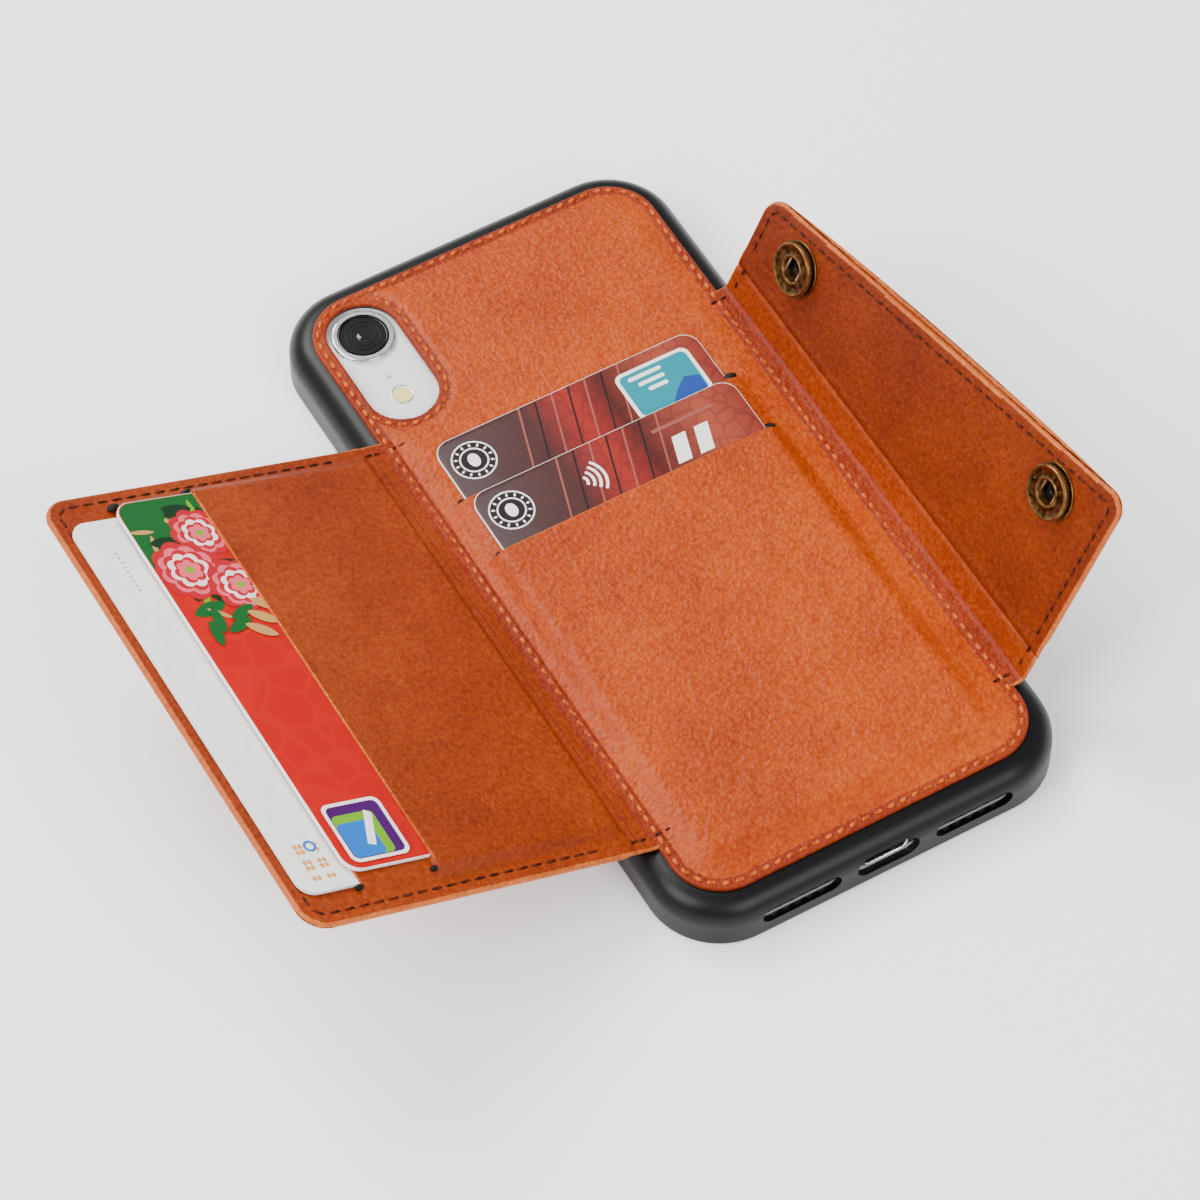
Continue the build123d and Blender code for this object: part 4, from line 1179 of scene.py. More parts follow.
def dress_hinge(strip: bpy.types.Object, fold: Fold, low_y: float, high_y: float) -> None:
    """Pale ends, and painted shade: the darker margin skin between the back's stitches and the crease.

    Args:
        strip: the finished hinge strip.
        fold: the flap's turned path.
        low_y: lower end.
        high_y: upper end.
    """
    middles = face_middles(strip)
    near = np.minimum(middles[:, 1] - low_y, high_y - middles[:, 1])
    # painted shade: faces on the back side of the crease take the darker margin skin
    inside = (middles[:, 0] - fold.crease_x) * fold.side < 0.3
    strip.data.materials.append(Look.EDGE.made)
    strip.data.materials.append(Look.MARGIN.made)
    look = np.where(near < 0.3, 1, np.where(inside, 2, 0))
    strip.data.polygons.foreach_set("material_index", look.astype(int))


@dataclass
class CardFlap:
    """The left flap, which holds two cards behind one slotted sheet."""

    fold: Fold
    low_y: float = -58.8
    high_y: float = 39.9
    end: float = 70.6
    slot_near: float = 42.8
    slot_far: float = 57.6
    pocket_low: float = -52.75
    pocket_high: float = 34.85
    near_rise: tuple[float, float] = (2.325, 0.02466)
    far_rise: tuple[float, float] = (1.24, 0.01047)
    split: float = 2.3
    stitch_inset: float = 2.3

    def relief(self, s: Grid, y: Grid) -> Grid:
        """Height of the inner face over the cards.

        Args:
            s: distances past the crease.
            y: places along the crease.

        Returns:
            One height for each point.
        """
        near = self.near_rise[0] + self.near_rise[1] * (s - self.slot_near)
        far = self.far_rise[0] + self.far_rise[1] * (s - self.slot_far)
        over = np.where(s <= self.slot_near, near, np.where(s <= self.slot_far, far, 0.0))
        from_slot = np.where(s <= self.slot_near, self.slot_near - s, self.slot_far - s)
        lip = np.where((from_slot >= 0) & (from_slot < 0.25), 0.15 * (1 - from_slot / 0.25) ** 2, 0.0)
        spread = smooth((y - self.pocket_low + 2.6) / 3.0) * smooth((self.pocket_high + 2.6 - y) / 3.0)
        root = smooth((s - 3.9) / 1.7)
        seam = -0.16 * np.exp(-((s - 3.6) / 0.5) ** 2)
        return np.maximum(over - lip, 0) * spread * root + seam

    def build(self) -> None:
        """Make the flap, its hinge strip, its stitches and the lining at its slots."""
        fixed = list(np.arange(self.split, 7.2, 0.3)) + list(np.arange(7.2, self.slot_near - 0.4, 1.0))
        for slot in (self.slot_near, self.slot_far):
            fixed += [slot - 0.25, slot - 0.15, slot - 0.06, slot, slot + 0.012, slot + 0.3]
        fixed += list(np.arange(self.slot_near + 1, self.slot_far - 0.5, 1.0))
        fixed += list(np.arange(self.slot_far + 1, self.end - FINE[-1], 1.0))
        flap = Flap(fold=self.fold, low_y=self.low_y, high_y=self.high_y, corner=5.0, thick=DOUBLED, thin=SINGLE,
                    edge_at=lambda y: np.full_like(np.asarray(y, float), self.end), relief=self.relief,
                    rows=sorted(fixed), start=self.split)
        sheet = flap.build("card_flap_leather")
        self.fold.joint_point(self.fold.bend - 0.9)
        self.fold.joint_point(self.fold.bend + 0.35)
        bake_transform(sheet)
        finished(sheet, "", Look.FLAP.made,
                 ["card_flap_outer_leather", "card_flap_inner_leather"])
        flap.pale_edge(sheet)
        strip = hinge_sheet("card_flap_hinge", self.fold, self.low_y, self.high_y, -2.3, self.split, SINGLE)
        self.fold.joint_point(-1.35)
        self.fold.joint_point(-0.5)
        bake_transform(strip)
        finished(strip, "", Look.FLAP.made, ["card_flap_strip"])
        dress_hinge(strip, self.fold, self.low_y, self.high_y)
        sew_flap("card_flap", flap, self.stitch_inset, self.fold, "card_flap", ["card_flap_stitching"])
        end_stitches("card_flap", self.fold, self.low_y, self.high_y, self.stitch_inset)
        bits = []
        for slot, rise in ((self.slot_near, self.near_rise), (self.slot_far, self.far_rise)):
            for y, size in ((self.pocket_high + 0.6, 1.15), (self.pocket_low - 0.5, 0.85)):
                x0, _, z0 = self.fold.place(np.array(slot + 0.35), np.array(y), np.array(rise[0] * 0.5))
                bits.append(lining_tuft(float(x0), y, float(z0), size, "flap_slot"))
            run = np.array([self.pocket_low + 0.6, (self.pocket_low + self.pocket_high) / 2, self.pocket_high - 0.6])
            path = self.fold.place(np.full(3, slot - 0.06), run, np.full(3, rise[0] - 0.26))
            cut_edge(f"flap_slot_edge_{int(slot)}", path, self.fold.up, "card_flap")
        piece = join(bits, "flap_slot_lining")
        finished(piece, "card_flap", Look.LINING.made)
        dress("card_flap_lining", Look.LINING)
        dress("card_flap_board", Look.BOARD)


def sew_flap(name: str, flap: Flap, inset: float, fold: Fold, body: str, stands_for: list[str]) -> None:
    """Brown stitches along a flap's three free sides, on its inner and outer faces.

    Args:
        name: the flap's name.
        flap: the sheet that is sewn.
        inset: how far in the row lies.
        fold: the flap's turned path.
        body: the flap's body.
        stands_for: CAD thread that the inner row replaces.
    """
    e = np.concatenate([np.linspace(60, flap.corner, 14),
                        inset + (flap.corner - inset) * (1 - np.sin(np.linspace(0.1, np.pi / 2, 10)))])
    r = flap.corner - inset
    part = np.clip(flap.corner - e, 0, r)
    short = inset + r - np.sqrt(np.maximum(r * r - part * part, 0))
    low, high = flap.low_y + short, flap.high_y - short
    row = np.vstack([np.stack([flap.edge_at(low) - e, low], 1),
                     np.stack([flap.edge_at(high) - e, high], 1)[::-1]])
    row = row[row[:, 0] > fold.bend + 0.5]
    flat = np.column_stack([row, np.zeros(len(row))])
    places, ways = spaced(flat, FLAP_PITCH, False)
    relief = flap.relief(places[:, 0], places[:, 1])
    for face, height in (("inner", relief + 0.0), ("outer", np.full(len(places), -flap.thick))):
        spots = fold.place(places[:, 0], places[:, 1], height)
        ends = fold.place(places[:, 0] + ways[:, 0], places[:, 1] + ways[:, 1], height)
        dirs = ends - spots
        dirs /= np.linalg.norm(dirs, axis=1)[:, None]
        ups = np.tile(fold.up if face == "inner" else -fold.up, (len(spots), 1))
        sewn = stitches(f"{name}_stitches_{face}", spots, dirs, ups, FLAP_STITCH, 0.04)
        finished(sewn, body, Look.DARK_THREAD.made, stands_for if face == "inner" else [])


def end_stitches(name: str, fold: Fold, low_y: float, high_y: float, inset: float) -> None:
    """Brown stitches that run from a flap over its hinge on to the back, at both ends.

    Args:
        name: the flap's name.
        fold: the flap's turned path.
        low_y: lower end.
        high_y: upper end.
        inset: how far in the rows lie.
    """
    for body, places in (("case", (-3.9, -1.9)), (f"{name}_strip", (fold.bend * 0.3, fold.bend * 0.68))):
        s = np.repeat(places, 2)
        y = np.tile([low_y + inset, high_y - inset], len(places))
        spots = fold.place(s, y, np.full(len(s), 0.04))
        ahead = fold.place(s + 0.2, y, np.full(len(s), 0.04)) - spots
        ahead /= np.linalg.norm(ahead, axis=1)[:, None]
        across = np.tile([0.0, 1.0, 0.0], (len(s), 1))
        ups = np.cross(ahead, across) * fold.side
        sewn = stitches(f"{name}_end_stitches_{body}", spots, ahead, ups, END_STITCH, 0.05)
        finished(sewn, body, Look.DARK_THREAD.made)


@dataclass
class Clasp:
    """The right flap, with a slanted edge and two snap sockets."""

    fold: Fold
    low_y: float = -60.8
    high_y: float = 39.9
    top_width: float = 22.9
    bottom_width: float = 43.7
    emboss: float = 5.8
    split: float = 4.1
    stitch_inset: float = 2.3

    def edge_at(self, y: Grid) -> Grid:
        """Distance from the crease to the slanted edge."""
        share = (self.high_y - np.asarray(y, float)) / (self.high_y - self.low_y)
        return self.top_width + share * (self.bottom_width - self.top_width) + 0.9 * np.sin(np.pi * share)

    def relief(self, s: Grid, y: Grid) -> Grid:
        """The pressed line beside the fold."""
        line = -0.3 * np.exp(-((s - self.emboss) / 0.42) ** 2)
        swell = 0.14 * np.exp(-((s - self.emboss - 1.4) / 0.9) ** 2)
        return line + swell * smooth((y - self.low_y) / 3) * smooth((self.high_y - y) / 3)

    def build(self) -> None:
        """Make the flap, its hinge strip and its stitches."""
        rows = list(np.arange(self.split, 9.4, 0.2))
        # painted highlight: the band from the fold to the pressed line gets the lighter flap skin
        flap = Flap(fold=self.fold, low_y=self.low_y, high_y=self.high_y, corner=4.2, thick=DOUBLED, thin=SINGLE,
                    edge_at=self.edge_at, relief=self.relief, rows=rows, start=self.split, wavy=0.09,
                    painted_highlight_until=self.emboss - 0.1)
        sheet = flap.build("clasp_leather")
        self.fold.joint_point(self.fold.bend - 1.0)
        self.fold.joint_point(self.fold.bend + 1.0)
        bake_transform(sheet)
        finished(sheet, "", Look.CLASP.made, ["clasp_outer_leather", "clasp_inner_leather"])
        flap.pale_edge(sheet)
        strip = hinge_sheet("clasp_hinge", self.fold, self.low_y, self.high_y, -3.4, self.split, SINGLE)
        self.fold.joint_point(-2.6)
        self.fold.joint_point(-1.6)
        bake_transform(strip)
        # painted highlight: the clasp's hinge strip gets the lighter flap skin, not the clasp's own
        finished(strip, "", Look.FLAP.made, ["clasp_strip"])
        dress_hinge(strip, self.fold, self.low_y, self.high_y)
        sew_flap("clasp", flap, self.stitch_inset, self.fold, "clasp", ["clasp_stitching"])
        end_stitches("clasp", self.fold, self.low_y, self.high_y, self.stitch_inset)
        dress("clasp_board", Look.BOARD)


# ------------------------------------------------------------------ snaps
@dataclass
class Snaps:
    """Antique brass snap fasteners: sockets and caps on the clasp, studs on the card flap."""

    fold: Fold
    places: tuple[tuple[str, float, float], ...] = (("top", 17.13, 26.2), ("bottom", 32.77, -46.6))
    beads: int = 60
    bead_radius: float = 4.98
    bead_height: float = 1.32
    bead_wide: float = 0.17
    bead_tall: float = 0.36
    marks: int = 8
    mark_radius: float = 3.62
    mark_height: float = 1.74

    def turned(self, name: str, s: float, y: float, section: Sequence[tuple[float, float]],
               around: int = 120) -> bpy.types.Object:
        """Spin a closed section about the snap's axis.

        Args:
            name: the piece's name.
            s: the axis's distance past the crease.
            y: its place along the crease.
            section: radii and heights of the corners.
            around: steps in a full turn.

        Returns:
            The turned piece.
        """
        m = len(section)
        angles = np.linspace(0, 2 * np.pi, around, endpoint=False)
        ring = np.array(section)
        along = np.array([0.0, 1.0, 0.0])
        centre = self.fold.place(np.array(s), np.array(y), np.array(0.0))
        points, faces = [], []
        for angle in angles:
            way = self.fold.out * math.cos(angle) + along * math.sin(angle)
            points.append(centre + ring[:, :1] * way + ring[:, 1:] * self.fold.up)
        for i in range(around):
            a, b = i * m, ((i + 1) % around) * m
            faces += [(a + j, a + (j + 1) % m, b + (j + 1) % m, b + j) for j in range(m)]
        return mesh_piece(name, np.vstack(points), faces)

    def build(self) -> None:
        """Make both sockets and dress the rest."""
        section = [(2.15, 0.2), (2.15, 1.55), (2.32, 1.82), (2.6, 1.9), (2.75, 1.78), (3.0, 1.7), (4.2, 1.78),
                   (4.45, 1.95), (4.72, 2.0), (4.92, 1.86), (5.0, 1.6), (5.0, 0.95), (4.85, 0.75), (4.55, 0.68),
                   (4.55, 0.5), (5.2, 0.46), (5.3, 0.3), (5.25, 0.05), (2.0, 0.02)]
        for place, s, y in self.places:
            parts = [self.turned("socket_ring", s, y, section)]
            centre = self.fold.place(np.array(s), np.array(y), np.array(0.0))
            for k in range(self.beads):
                parts.append(self.bead(centre, 2 * math.pi * k / self.beads))
            for k in range(self.marks):
                parts.append(self.star(centre, 2 * math.pi * k / self.marks))
            # painted shade: a black disc at the bottom of the socket's hollow
            hollow_shade = self.turned("hollow_shade", s, y, [(0.01, 0.2), (0.01, 0.34), (2.1, 0.34), (2.1, 0.2)], 48)
            hollow_shade.name = f"snap_socket_{place}_well"
            finished(hollow_shade, "clasp", Look.LENS_RING.made)
            socket = join(parts, f"snap_socket_{place}_ring")
            shade(socket, 40)
            finished(socket, "clasp", Look.BRASS.made, [f"snap_socket_{place}"])
            dress(f"snap_cap_{place}", Look.BRASS)
            dress(f"snap_stud_{place}", Look.BRASS)
            dress(f"snap_spring_{place}", Look.WIRE)

    def bead(self, centre: Grid, angle: float) -> bpy.types.Object:
        """One upright bead of the ring's milled side.

        Args:
            centre: the snap's middle.
            angle: where round the ring it is.

        Returns:
            The bead.
        """
        way = self.fold.out * math.cos(angle) + np.array([0.0, 1.0, 0.0]) * math.sin(angle)
        spot = centre + way * self.bead_radius + self.fold.up * self.bead_height
        return stitches("bead", np.array([spot]), np.array([self.fold.up]), np.array([way]),
                        (self.bead_tall, self.bead_wide, 0.13))

    def star(self, centre: Grid, angle: float) -> bpy.types.Object:
        """One raised five-pointed mark on the ring's face.

        Args:
            centre: the snap's middle.
            angle: where round the ring it is.

        Returns:
            The mark.
        """
        along = np.array([0.0, 1.0, 0.0])
        height = self.mark_height
        spot = centre + (self.fold.out * math.cos(angle) + along * math.sin(angle)) * self.mark_radius
        rim = []
        for k in range(10):
            size = 0.42 if k % 2 == 0 else 0.18
            turn = angle + math.pi * k / 5
            rim.append(spot + (self.fold.out * math.cos(turn) + along * math.sin(turn)) * size
                       + self.fold.up * (height - 0.12))
        points = np.array(rim + [spot + self.fold.up * (height + 0.16), spot + self.fold.up * (height - 0.3)])
        faces = [(k, (k + 1) % 10, 10) for k in range(10)] + [((k + 1) % 10, k, 11) for k in range(10)]
        return mesh_piece("star", points, faces)


# ------------------------------------------------------------------ cards
CARD_LENGTH = 85.6
CARD_WIDTH = 53.98


@dataclass
class Card:
    """A printed ID-1 card lying in its pocket, with its print as thin raised ink."""

    name: str
    base: Look
    centre: Grid
    across: Grid
    along: Grid
    body: str
    slot: str
    length: float = CARD_LENGTH
    width: float = CARD_WIDTH
    thick: float = 0.76
    corner: float = 3.18
    flip: float = 1.0
    ink: list[tuple[Grid, Look]] = field(default_factory=list)

    def mark(self, outline: Grid, look: Look) -> None:
        """Add a flat printed shape, in millimetres across and along from the card's middle."""
        shape = np.asarray(outline, float) * np.array([1.0, self.flip])
        self.ink.append((shape if self.flip > 0 else shape[::-1], look))

    def blob(self, a: float, b: float, half_a: float, half_b: float, turn: float, look: Look,
             point: float = 1.0) -> None:
        """Print an ellipse, or a leaf when point is under 1.

        Args:
            a: its middle, across the card.
            b: its middle, along the card.
            half_a: half its length.
            half_b: half its width.
            turn: how far it is turned, in radians.
            look: its ink.
            point: how blunt its ends are, 1 for an ellipse.
        """
        t = np.linspace(0, 2 * np.pi, 25)[:-1]
        x = half_a * np.cos(t)
        y = half_b * np.sin(t) * np.abs(np.sin(t)) ** (1 - point)
        c, s = math.cos(turn), math.sin(turn)
        self.mark(np.stack([a + x * c - y * s, b + x * s + y * c], 1), look)

    def inside(self, outline: Grid) -> Grid:
        """Keep print on the card, corners included.

        Args:
            outline: a printed shape.

        Returns:
            The shape, with more points and pulled in where it passed the edge.
        """
        share = np.linspace(0, 1, 9)[:-1, None, None]
        ends = np.roll(outline, -1, 0)
        fine = (outline + (ends - outline) * share).transpose(1, 0, 2).reshape(-1, 2)
        limit = np.array([self.width / 2 - 0.2, self.length / 2 - 0.2])
        fine = np.clip(fine, -limit, limit)
        middle = np.sign(fine) * (limit - self.corner)
        past = fine - middle
        corner = (np.abs(fine) > limit - self.corner).all(1)
        size = np.linalg.norm(past, axis=1)
        cut = corner & (size > self.corner)
        fine[cut] = middle[cut] + past[cut] * (self.corner / size[cut])[:, None]
        return fine

    def build(self) -> bpy.types.Object:
        """Make the card and its print as one piece."""
        up = np.cross(self.across, self.along)
        outline = rounded_rectangle(self.width / 2, self.length / 2, self.corner, 10)
        rings = [(0.12, 0.0), (0.03, 0.03), (0.0, 0.12), (0.0, self.thick - 0.12), (0.03, self.thick - 0.03),
                 (0.12, self.thick)]
        points, faces, looks, flat_marks = [], [], [], []
        count = len(outline)
        size = np.array([self.width / 2, self.length / 2])
        for inset, height in rings:
            flat = outline * (size - inset) / size
            flat_marks.append(flat)
            points.append(self.centre + flat[:, :1] * self.across + flat[:, 1:] * self.along + up * height)
        for i in range(len(rings) - 1):
            faces += [(i * count + k, i * count + (k + 1) % count, (i + 1) * count + (k + 1) % count,
                       (i + 1) * count + k) for k in range(count)]
        faces += [tuple(range(count)), tuple(range((len(rings) - 1) * count, len(rings) * count))]
        looks += [1] * (len(faces) - 2) + [0, 0]
        used = [self.base, Look.PRINT_WHITE]
        total = len(rings) * count
        for layer, (shape, look) in enumerate(self.ink):
            if look not in used:
                used.append(look)
            shape = self.inside(shape)
            points.append(self.centre + shape[:, :1] * self.across + shape[:, 1:] * self.along
                          + up * (self.thick + 0.003 + 0.0011 * layer))
            flat_marks.append(shape)
            faces.append(tuple(range(total, total + len(shape))))
            looks.append(used.index(look))
            total += len(shape)
        mesh = bpy.data.meshes.new(self.name)
        mesh.from_pydata((np.vstack(points) * MM).tolist(), [], [list(map(int, f)) for f in faces])
        mesh.polygons.foreach_set("material_index", looks)
        flat = np.vstack(flat_marks)
        layer = mesh.uv_layers.new(name="card")
        place = np.array([loop.vertex_index for loop in mesh.loops])
        uv = np.stack([flat[place, 0] / self.width + 0.5, flat[place, 1] / self.width + 0.5], 1)
        layer.data.foreach_set("uv", uv.ravel())
        piece = bpy.data.objects.new(f"{self.name}_printed", mesh)
        bpy.context.scene.collection.objects.link(piece)
        for look in used:
            mesh.materials.append(look.made)
        shade(piece, 40)
        return finished(piece, self.body, None, [self.name])


def flower(card: Card, a: float, b: float, size: float) -> None:
    """Print a full many-petalled flower.

    Args:
        card: the card it is printed on.
        a: its middle, across the card.
        b: its middle, along the card.
        size: how far its petals reach, nearly.
    """
    rings = ((1.0, 9, Look.PRINT_ROSE, 0.5), (0.92, 9, Look.PRINT_PINK, 0.36), (0.72, 8, Look.PRINT_ROSE, 0.34),
             (0.64, 8, Look.PRINT_BLUSH, 0.26), (0.42, 6, Look.PRINT_ROSE, 0.24), (0.34, 6, Look.PRINT_PINK, 0.18))
    for reach, count, look, wide in rings:
        for k in range(count):
            turn = 2 * math.pi * k / count + reach * 2.1
            out = size * reach * 0.55
            card.blob(a + out * math.cos(turn), b + out * math.sin(turn), size * wide * 0.95, size * wide * 0.8,
                      turn, look)
    card.blob(a, b, size * 0.12, size * 0.12, 0, Look.PRINT_LIME)


def badge(card: Card, a: float, b: float, half_a: float, half_b: float, colours: Sequence[Look]) -> None:
    """Print a plain rounded badge: white border and blocks of colour.

    Args:
        card: the card it is printed on.
        a: its middle, across the card.
        b: its middle, along the card.
        half_a: half its size across.
        half_b: half its size along.
        colours: its blocks, from the back to the front.
    """
    def block(x0: float, y0: float, x1: float, y1: float, look: Look, radius: float) -> None:
        """Print one rounded block between two corners."""
        outline = rounded_rectangle((x1 - x0) / 2, (y1 - y0) / 2, radius, 6)
        card.mark(outline + np.array([(x0 + x1) / 2, (y0 + y1) / 2]), look)

    block(a - half_a, b - half_b, a + half_a, b + half_b, Look.PRINT_WHITE, 1.6)
    block(a - half_a + 0.7, b - half_b + 0.7, a + half_a - 0.7, b + half_b - 0.7, colours[0], 1.2)
    for k, look in enumerate(colours[1:]):
        step = (k + 1) * 0.3 * half_a
        block(a - half_a + 0.9 + step, b - half_b + 0.9, a + half_a - 0.9, b + half_b - 0.9 - step, look, 1.0)


@dataclass
class Cards:
    """Two cards in the back and two in the card flap."""

    case: CaseFrame
    fold: Fold

    def build(self) -> None:
        """Make and print all four."""
        for name, foot, slope_start, rise in (("back_card_upper", -52.0, 0.16, 0.014217),
                                              ("back_card_lower", -65.6, 0.7144, 0.021014)):
            self.back_card(name, foot, slope_start, rise)
        self.flap_white()
        self.flap_red()

    def back_card(self, name: str, foot: float, low: float, rise: float) -> None:
        """One dark red card in the back, with plain marks where it shows.

        Args:
            name: the card's node and body.
            foot: its lower edge.
            low: its height over the plate there.
            rise: how steeply it lies.
        """
        half = CARD_LENGTH / 2
        centre = np.array([-1.2, foot + half, self.case.plate_z + low + rise * half])
        along = np.array([0.0, 1.0, rise]) / math.hypot(1, rise)
        card = Card(name, Look.CARD_MAROON, centre, np.array([1.0, 0.0, 0.0]), along, name, "card_dark")
        for k in range(7):
            x = -13.5 + 3.4 * k
            stroke = np.array([[x, 29.0], [x + 0.35, 29.0], [x + 4.6, 42.6], [x + 4.2, 42.6]])
            card.mark(stroke, Look.PRINT_BLACK if k % 2 else Look.PRINT_PALE)
        card.blob(-21.5, 36.6, 4.2, 4.2, 0, Look.PRINT_WHITE)
        card.blob(-21.5, 36.6, 3.9, 3.9, 0, Look.PRINT_BLACK)
        for k in range(14):
            turn = 2 * math.pi * k / 14
            card.blob(-21.5 + 3.3 * math.cos(turn), 36.6 + 3.3 * math.sin(turn), 0.36, 0.2, turn, Look.PRINT_WHITE)
        card.blob(-21.5, 36.6, 2.7, 2.7, 0, Look.PRINT_WHITE)
        card.blob(-21.5, 36.6, 2.4, 2.4, 0, Look.PRINT_BLACK)
        card.blob(-21.5, 36.6, 1.1, 1.5, 0, Look.PRINT_WHITE)
        if name == "back_card_upper":
            badge(card, 16.6, 34.6, 7.6, 5.6, (Look.PRINT_TEAL,))
            corner = np.array([[16.0, 29.8], [23.2, 29.8], [23.2, 33.2], [20.6, 34.2], [18.2, 32.4]])
            card.mark(corner, Look.PRINT_BLUE)
            for k in range(3):
                bar = rounded_rectangle(3.4 - 0.7 * k, 0.42, 0.4, 4)
                card.mark(bar + np.array([14.6 + 0.5 * k, 38.2 - 1.7 * k]), Look.PRINT_WHITE)
        else:
            for k in range(4):
                inner = arc((-8.0, 35.6), 1.1 + 1.15 * k, -42, 42, 12)
                outer = arc((-8.0, 35.6), 1.65 + 1.15 * k, 42, -42, 12)
                card.mark(np.vstack([inner, outer])[::-1], Look.PRINT_WHITE)
            card.mark(np.array([[9.4, 30.6], [12.2, 30.6], [14.0, 36.4], [11.2, 36.4]]), Look.PRINT_WHITE)
            card.mark(np.array([[14.0, 30.6], [16.8, 30.6], [18.6, 36.4], [15.8, 36.4]]), Look.PRINT_WHITE)
            card.mark(np.array([[8.6, 38.6], [21.4, 38.6], [21.4, 39.4], [8.6, 39.4]]), Look.PRINT_PALE)
        card.build()

    def flap_plane(self, inner: float, low: float, rise: float, y: float) -> tuple[Grid, Grid]:
        """The middle and outward direction of a card in the flap.

        Args:
            inner: its near edge's distance past the crease.
            low: its height over the inner face there.
            rise: how steeply it lies.
            y: its middle along the crease.

        Returns:
            The middle, and the direction away from the fold.
        """
        across = self.fold.out + self.fold.up * rise
        across /= np.linalg.norm(across)
        half = CARD_WIDTH / 2
        centre = self.fold.place(np.array(inner + half), np.array(y), np.array(low + rise * half))
        return centre, across

    def flap_white(self) -> None:
        """The white card nearest the flap's edge."""
        centre, across = self.flap_plane(14.626, -0.41, 0.01047, -9.8)
        card = Card("flap_card_outer", Look.CARD_WHITE, centre, across, np.array([0.0, 1.0, 0.0]),
                    "flap_card_outer", "card_white")
        self.orient(card)
        for row in range(7):
            for col in range(7):
                if (row * 5 + col * 3 + row * col) % 3:
                    card.blob(18.6 + row * 0.95, -40.0 + col * 1.15, 0.42, 0.5, 0, Look.PRINT_ORANGE)
        card.blob(20.6, -33.4, 1.2, 1.2, 0, Look.PRINT_SKY)
        card.blob(20.6, -33.4, 0.7, 0.7, 0, Look.PRINT_WHITE)
        for k in range(9):
            card.blob(21.4, 26.0 + k * 1.1, 0.35, 0.25, 0, Look.PRINT_GREY)
        card.build()

    def flap_red(self) -> None:
        """The red card with flowers at one end and a badge at the other."""
        centre, across = self.flap_plane(5.326, 0.2007, 0.024664, -8.1)
        card = Card("flap_card_inner", Look.CARD_RED, centre, across, np.array([0.0, 1.0, 0.0]),
                    "flap_card_inner", "card_red")
        self.orient(card)
        card.mark(np.array([[9.0, 42.6], [26.8, 42.6], [26.8, 27.0], [20.0, 25.0], [14.0, 28.0], [9.0, 31.0]]),
                  Look.PRINT_GREEN)
        for k in range(15):
            turn = 0.7 + 2.4 * k
            card.blob(11.5 + (k * 4.7) % 14, 41.0 - k * 1.75, 3.6, 1.5, turn, Look.PRINT_DEEP if k % 2 else
                      Look.PRINT_GREEN, 0.6)
            card.blob(12.5 + (k * 6.1) % 13, 39.0 - k * 1.7, 2.4, 0.5, turn + 0.9,
                      Look.PRINT_TAN if k % 3 else Look.PRINT_LIME, 0.6)
        flower(card, 14.0, 33.5, 5.6)
        flower(card, 20.4, 25.6, 6.8)
        flower(card, 12.8, 20.6, 6.0)
        for k in range(7):
            card.blob(10.5 + (k * 5.3) % 14, 15.5 - k * 0.9, 3.0, 1.1, 0.6 + 2.1 * k,
                      Look.PRINT_GREEN if k % 3 else Look.PRINT_TAN, 0.6)
        badge(card, 19.4, -35.2, 5.9, 6.4, (Look.PRINT_PURPLE, Look.PRINT_LIME, Look.PRINT_SKY))
        card.mark(np.array([[16.4, -32.2], [17.6, -31.2], [20.6, -38.2], [19.2, -38.8]]), Look.PRINT_WHITE)
        card.build()

    @staticmethod
    def orient(card: Card) -> None:
        """Turn the long direction so that the print faces out of the pocket.

        Args:
            card: the card, before it is printed.
        """
        up = np.cross(card.across, card.along)
        if up[2] < 0:
            card.along = -card.along
            card.flip = -1.0


# ------------------------------------------------------------------ phone and bumper
@dataclass
class Bumper:
    """The moulded bumper and the keys that press the phone's buttons."""

    pieces: tuple[str, ...] = ("bumper", "volume_up_key", "volume_down_key", "side_key")

    def build(self) -> None:
        """Dress the bumper and its keys."""
        for name in self.pieces:
            dress(name, Look.BUMPER)


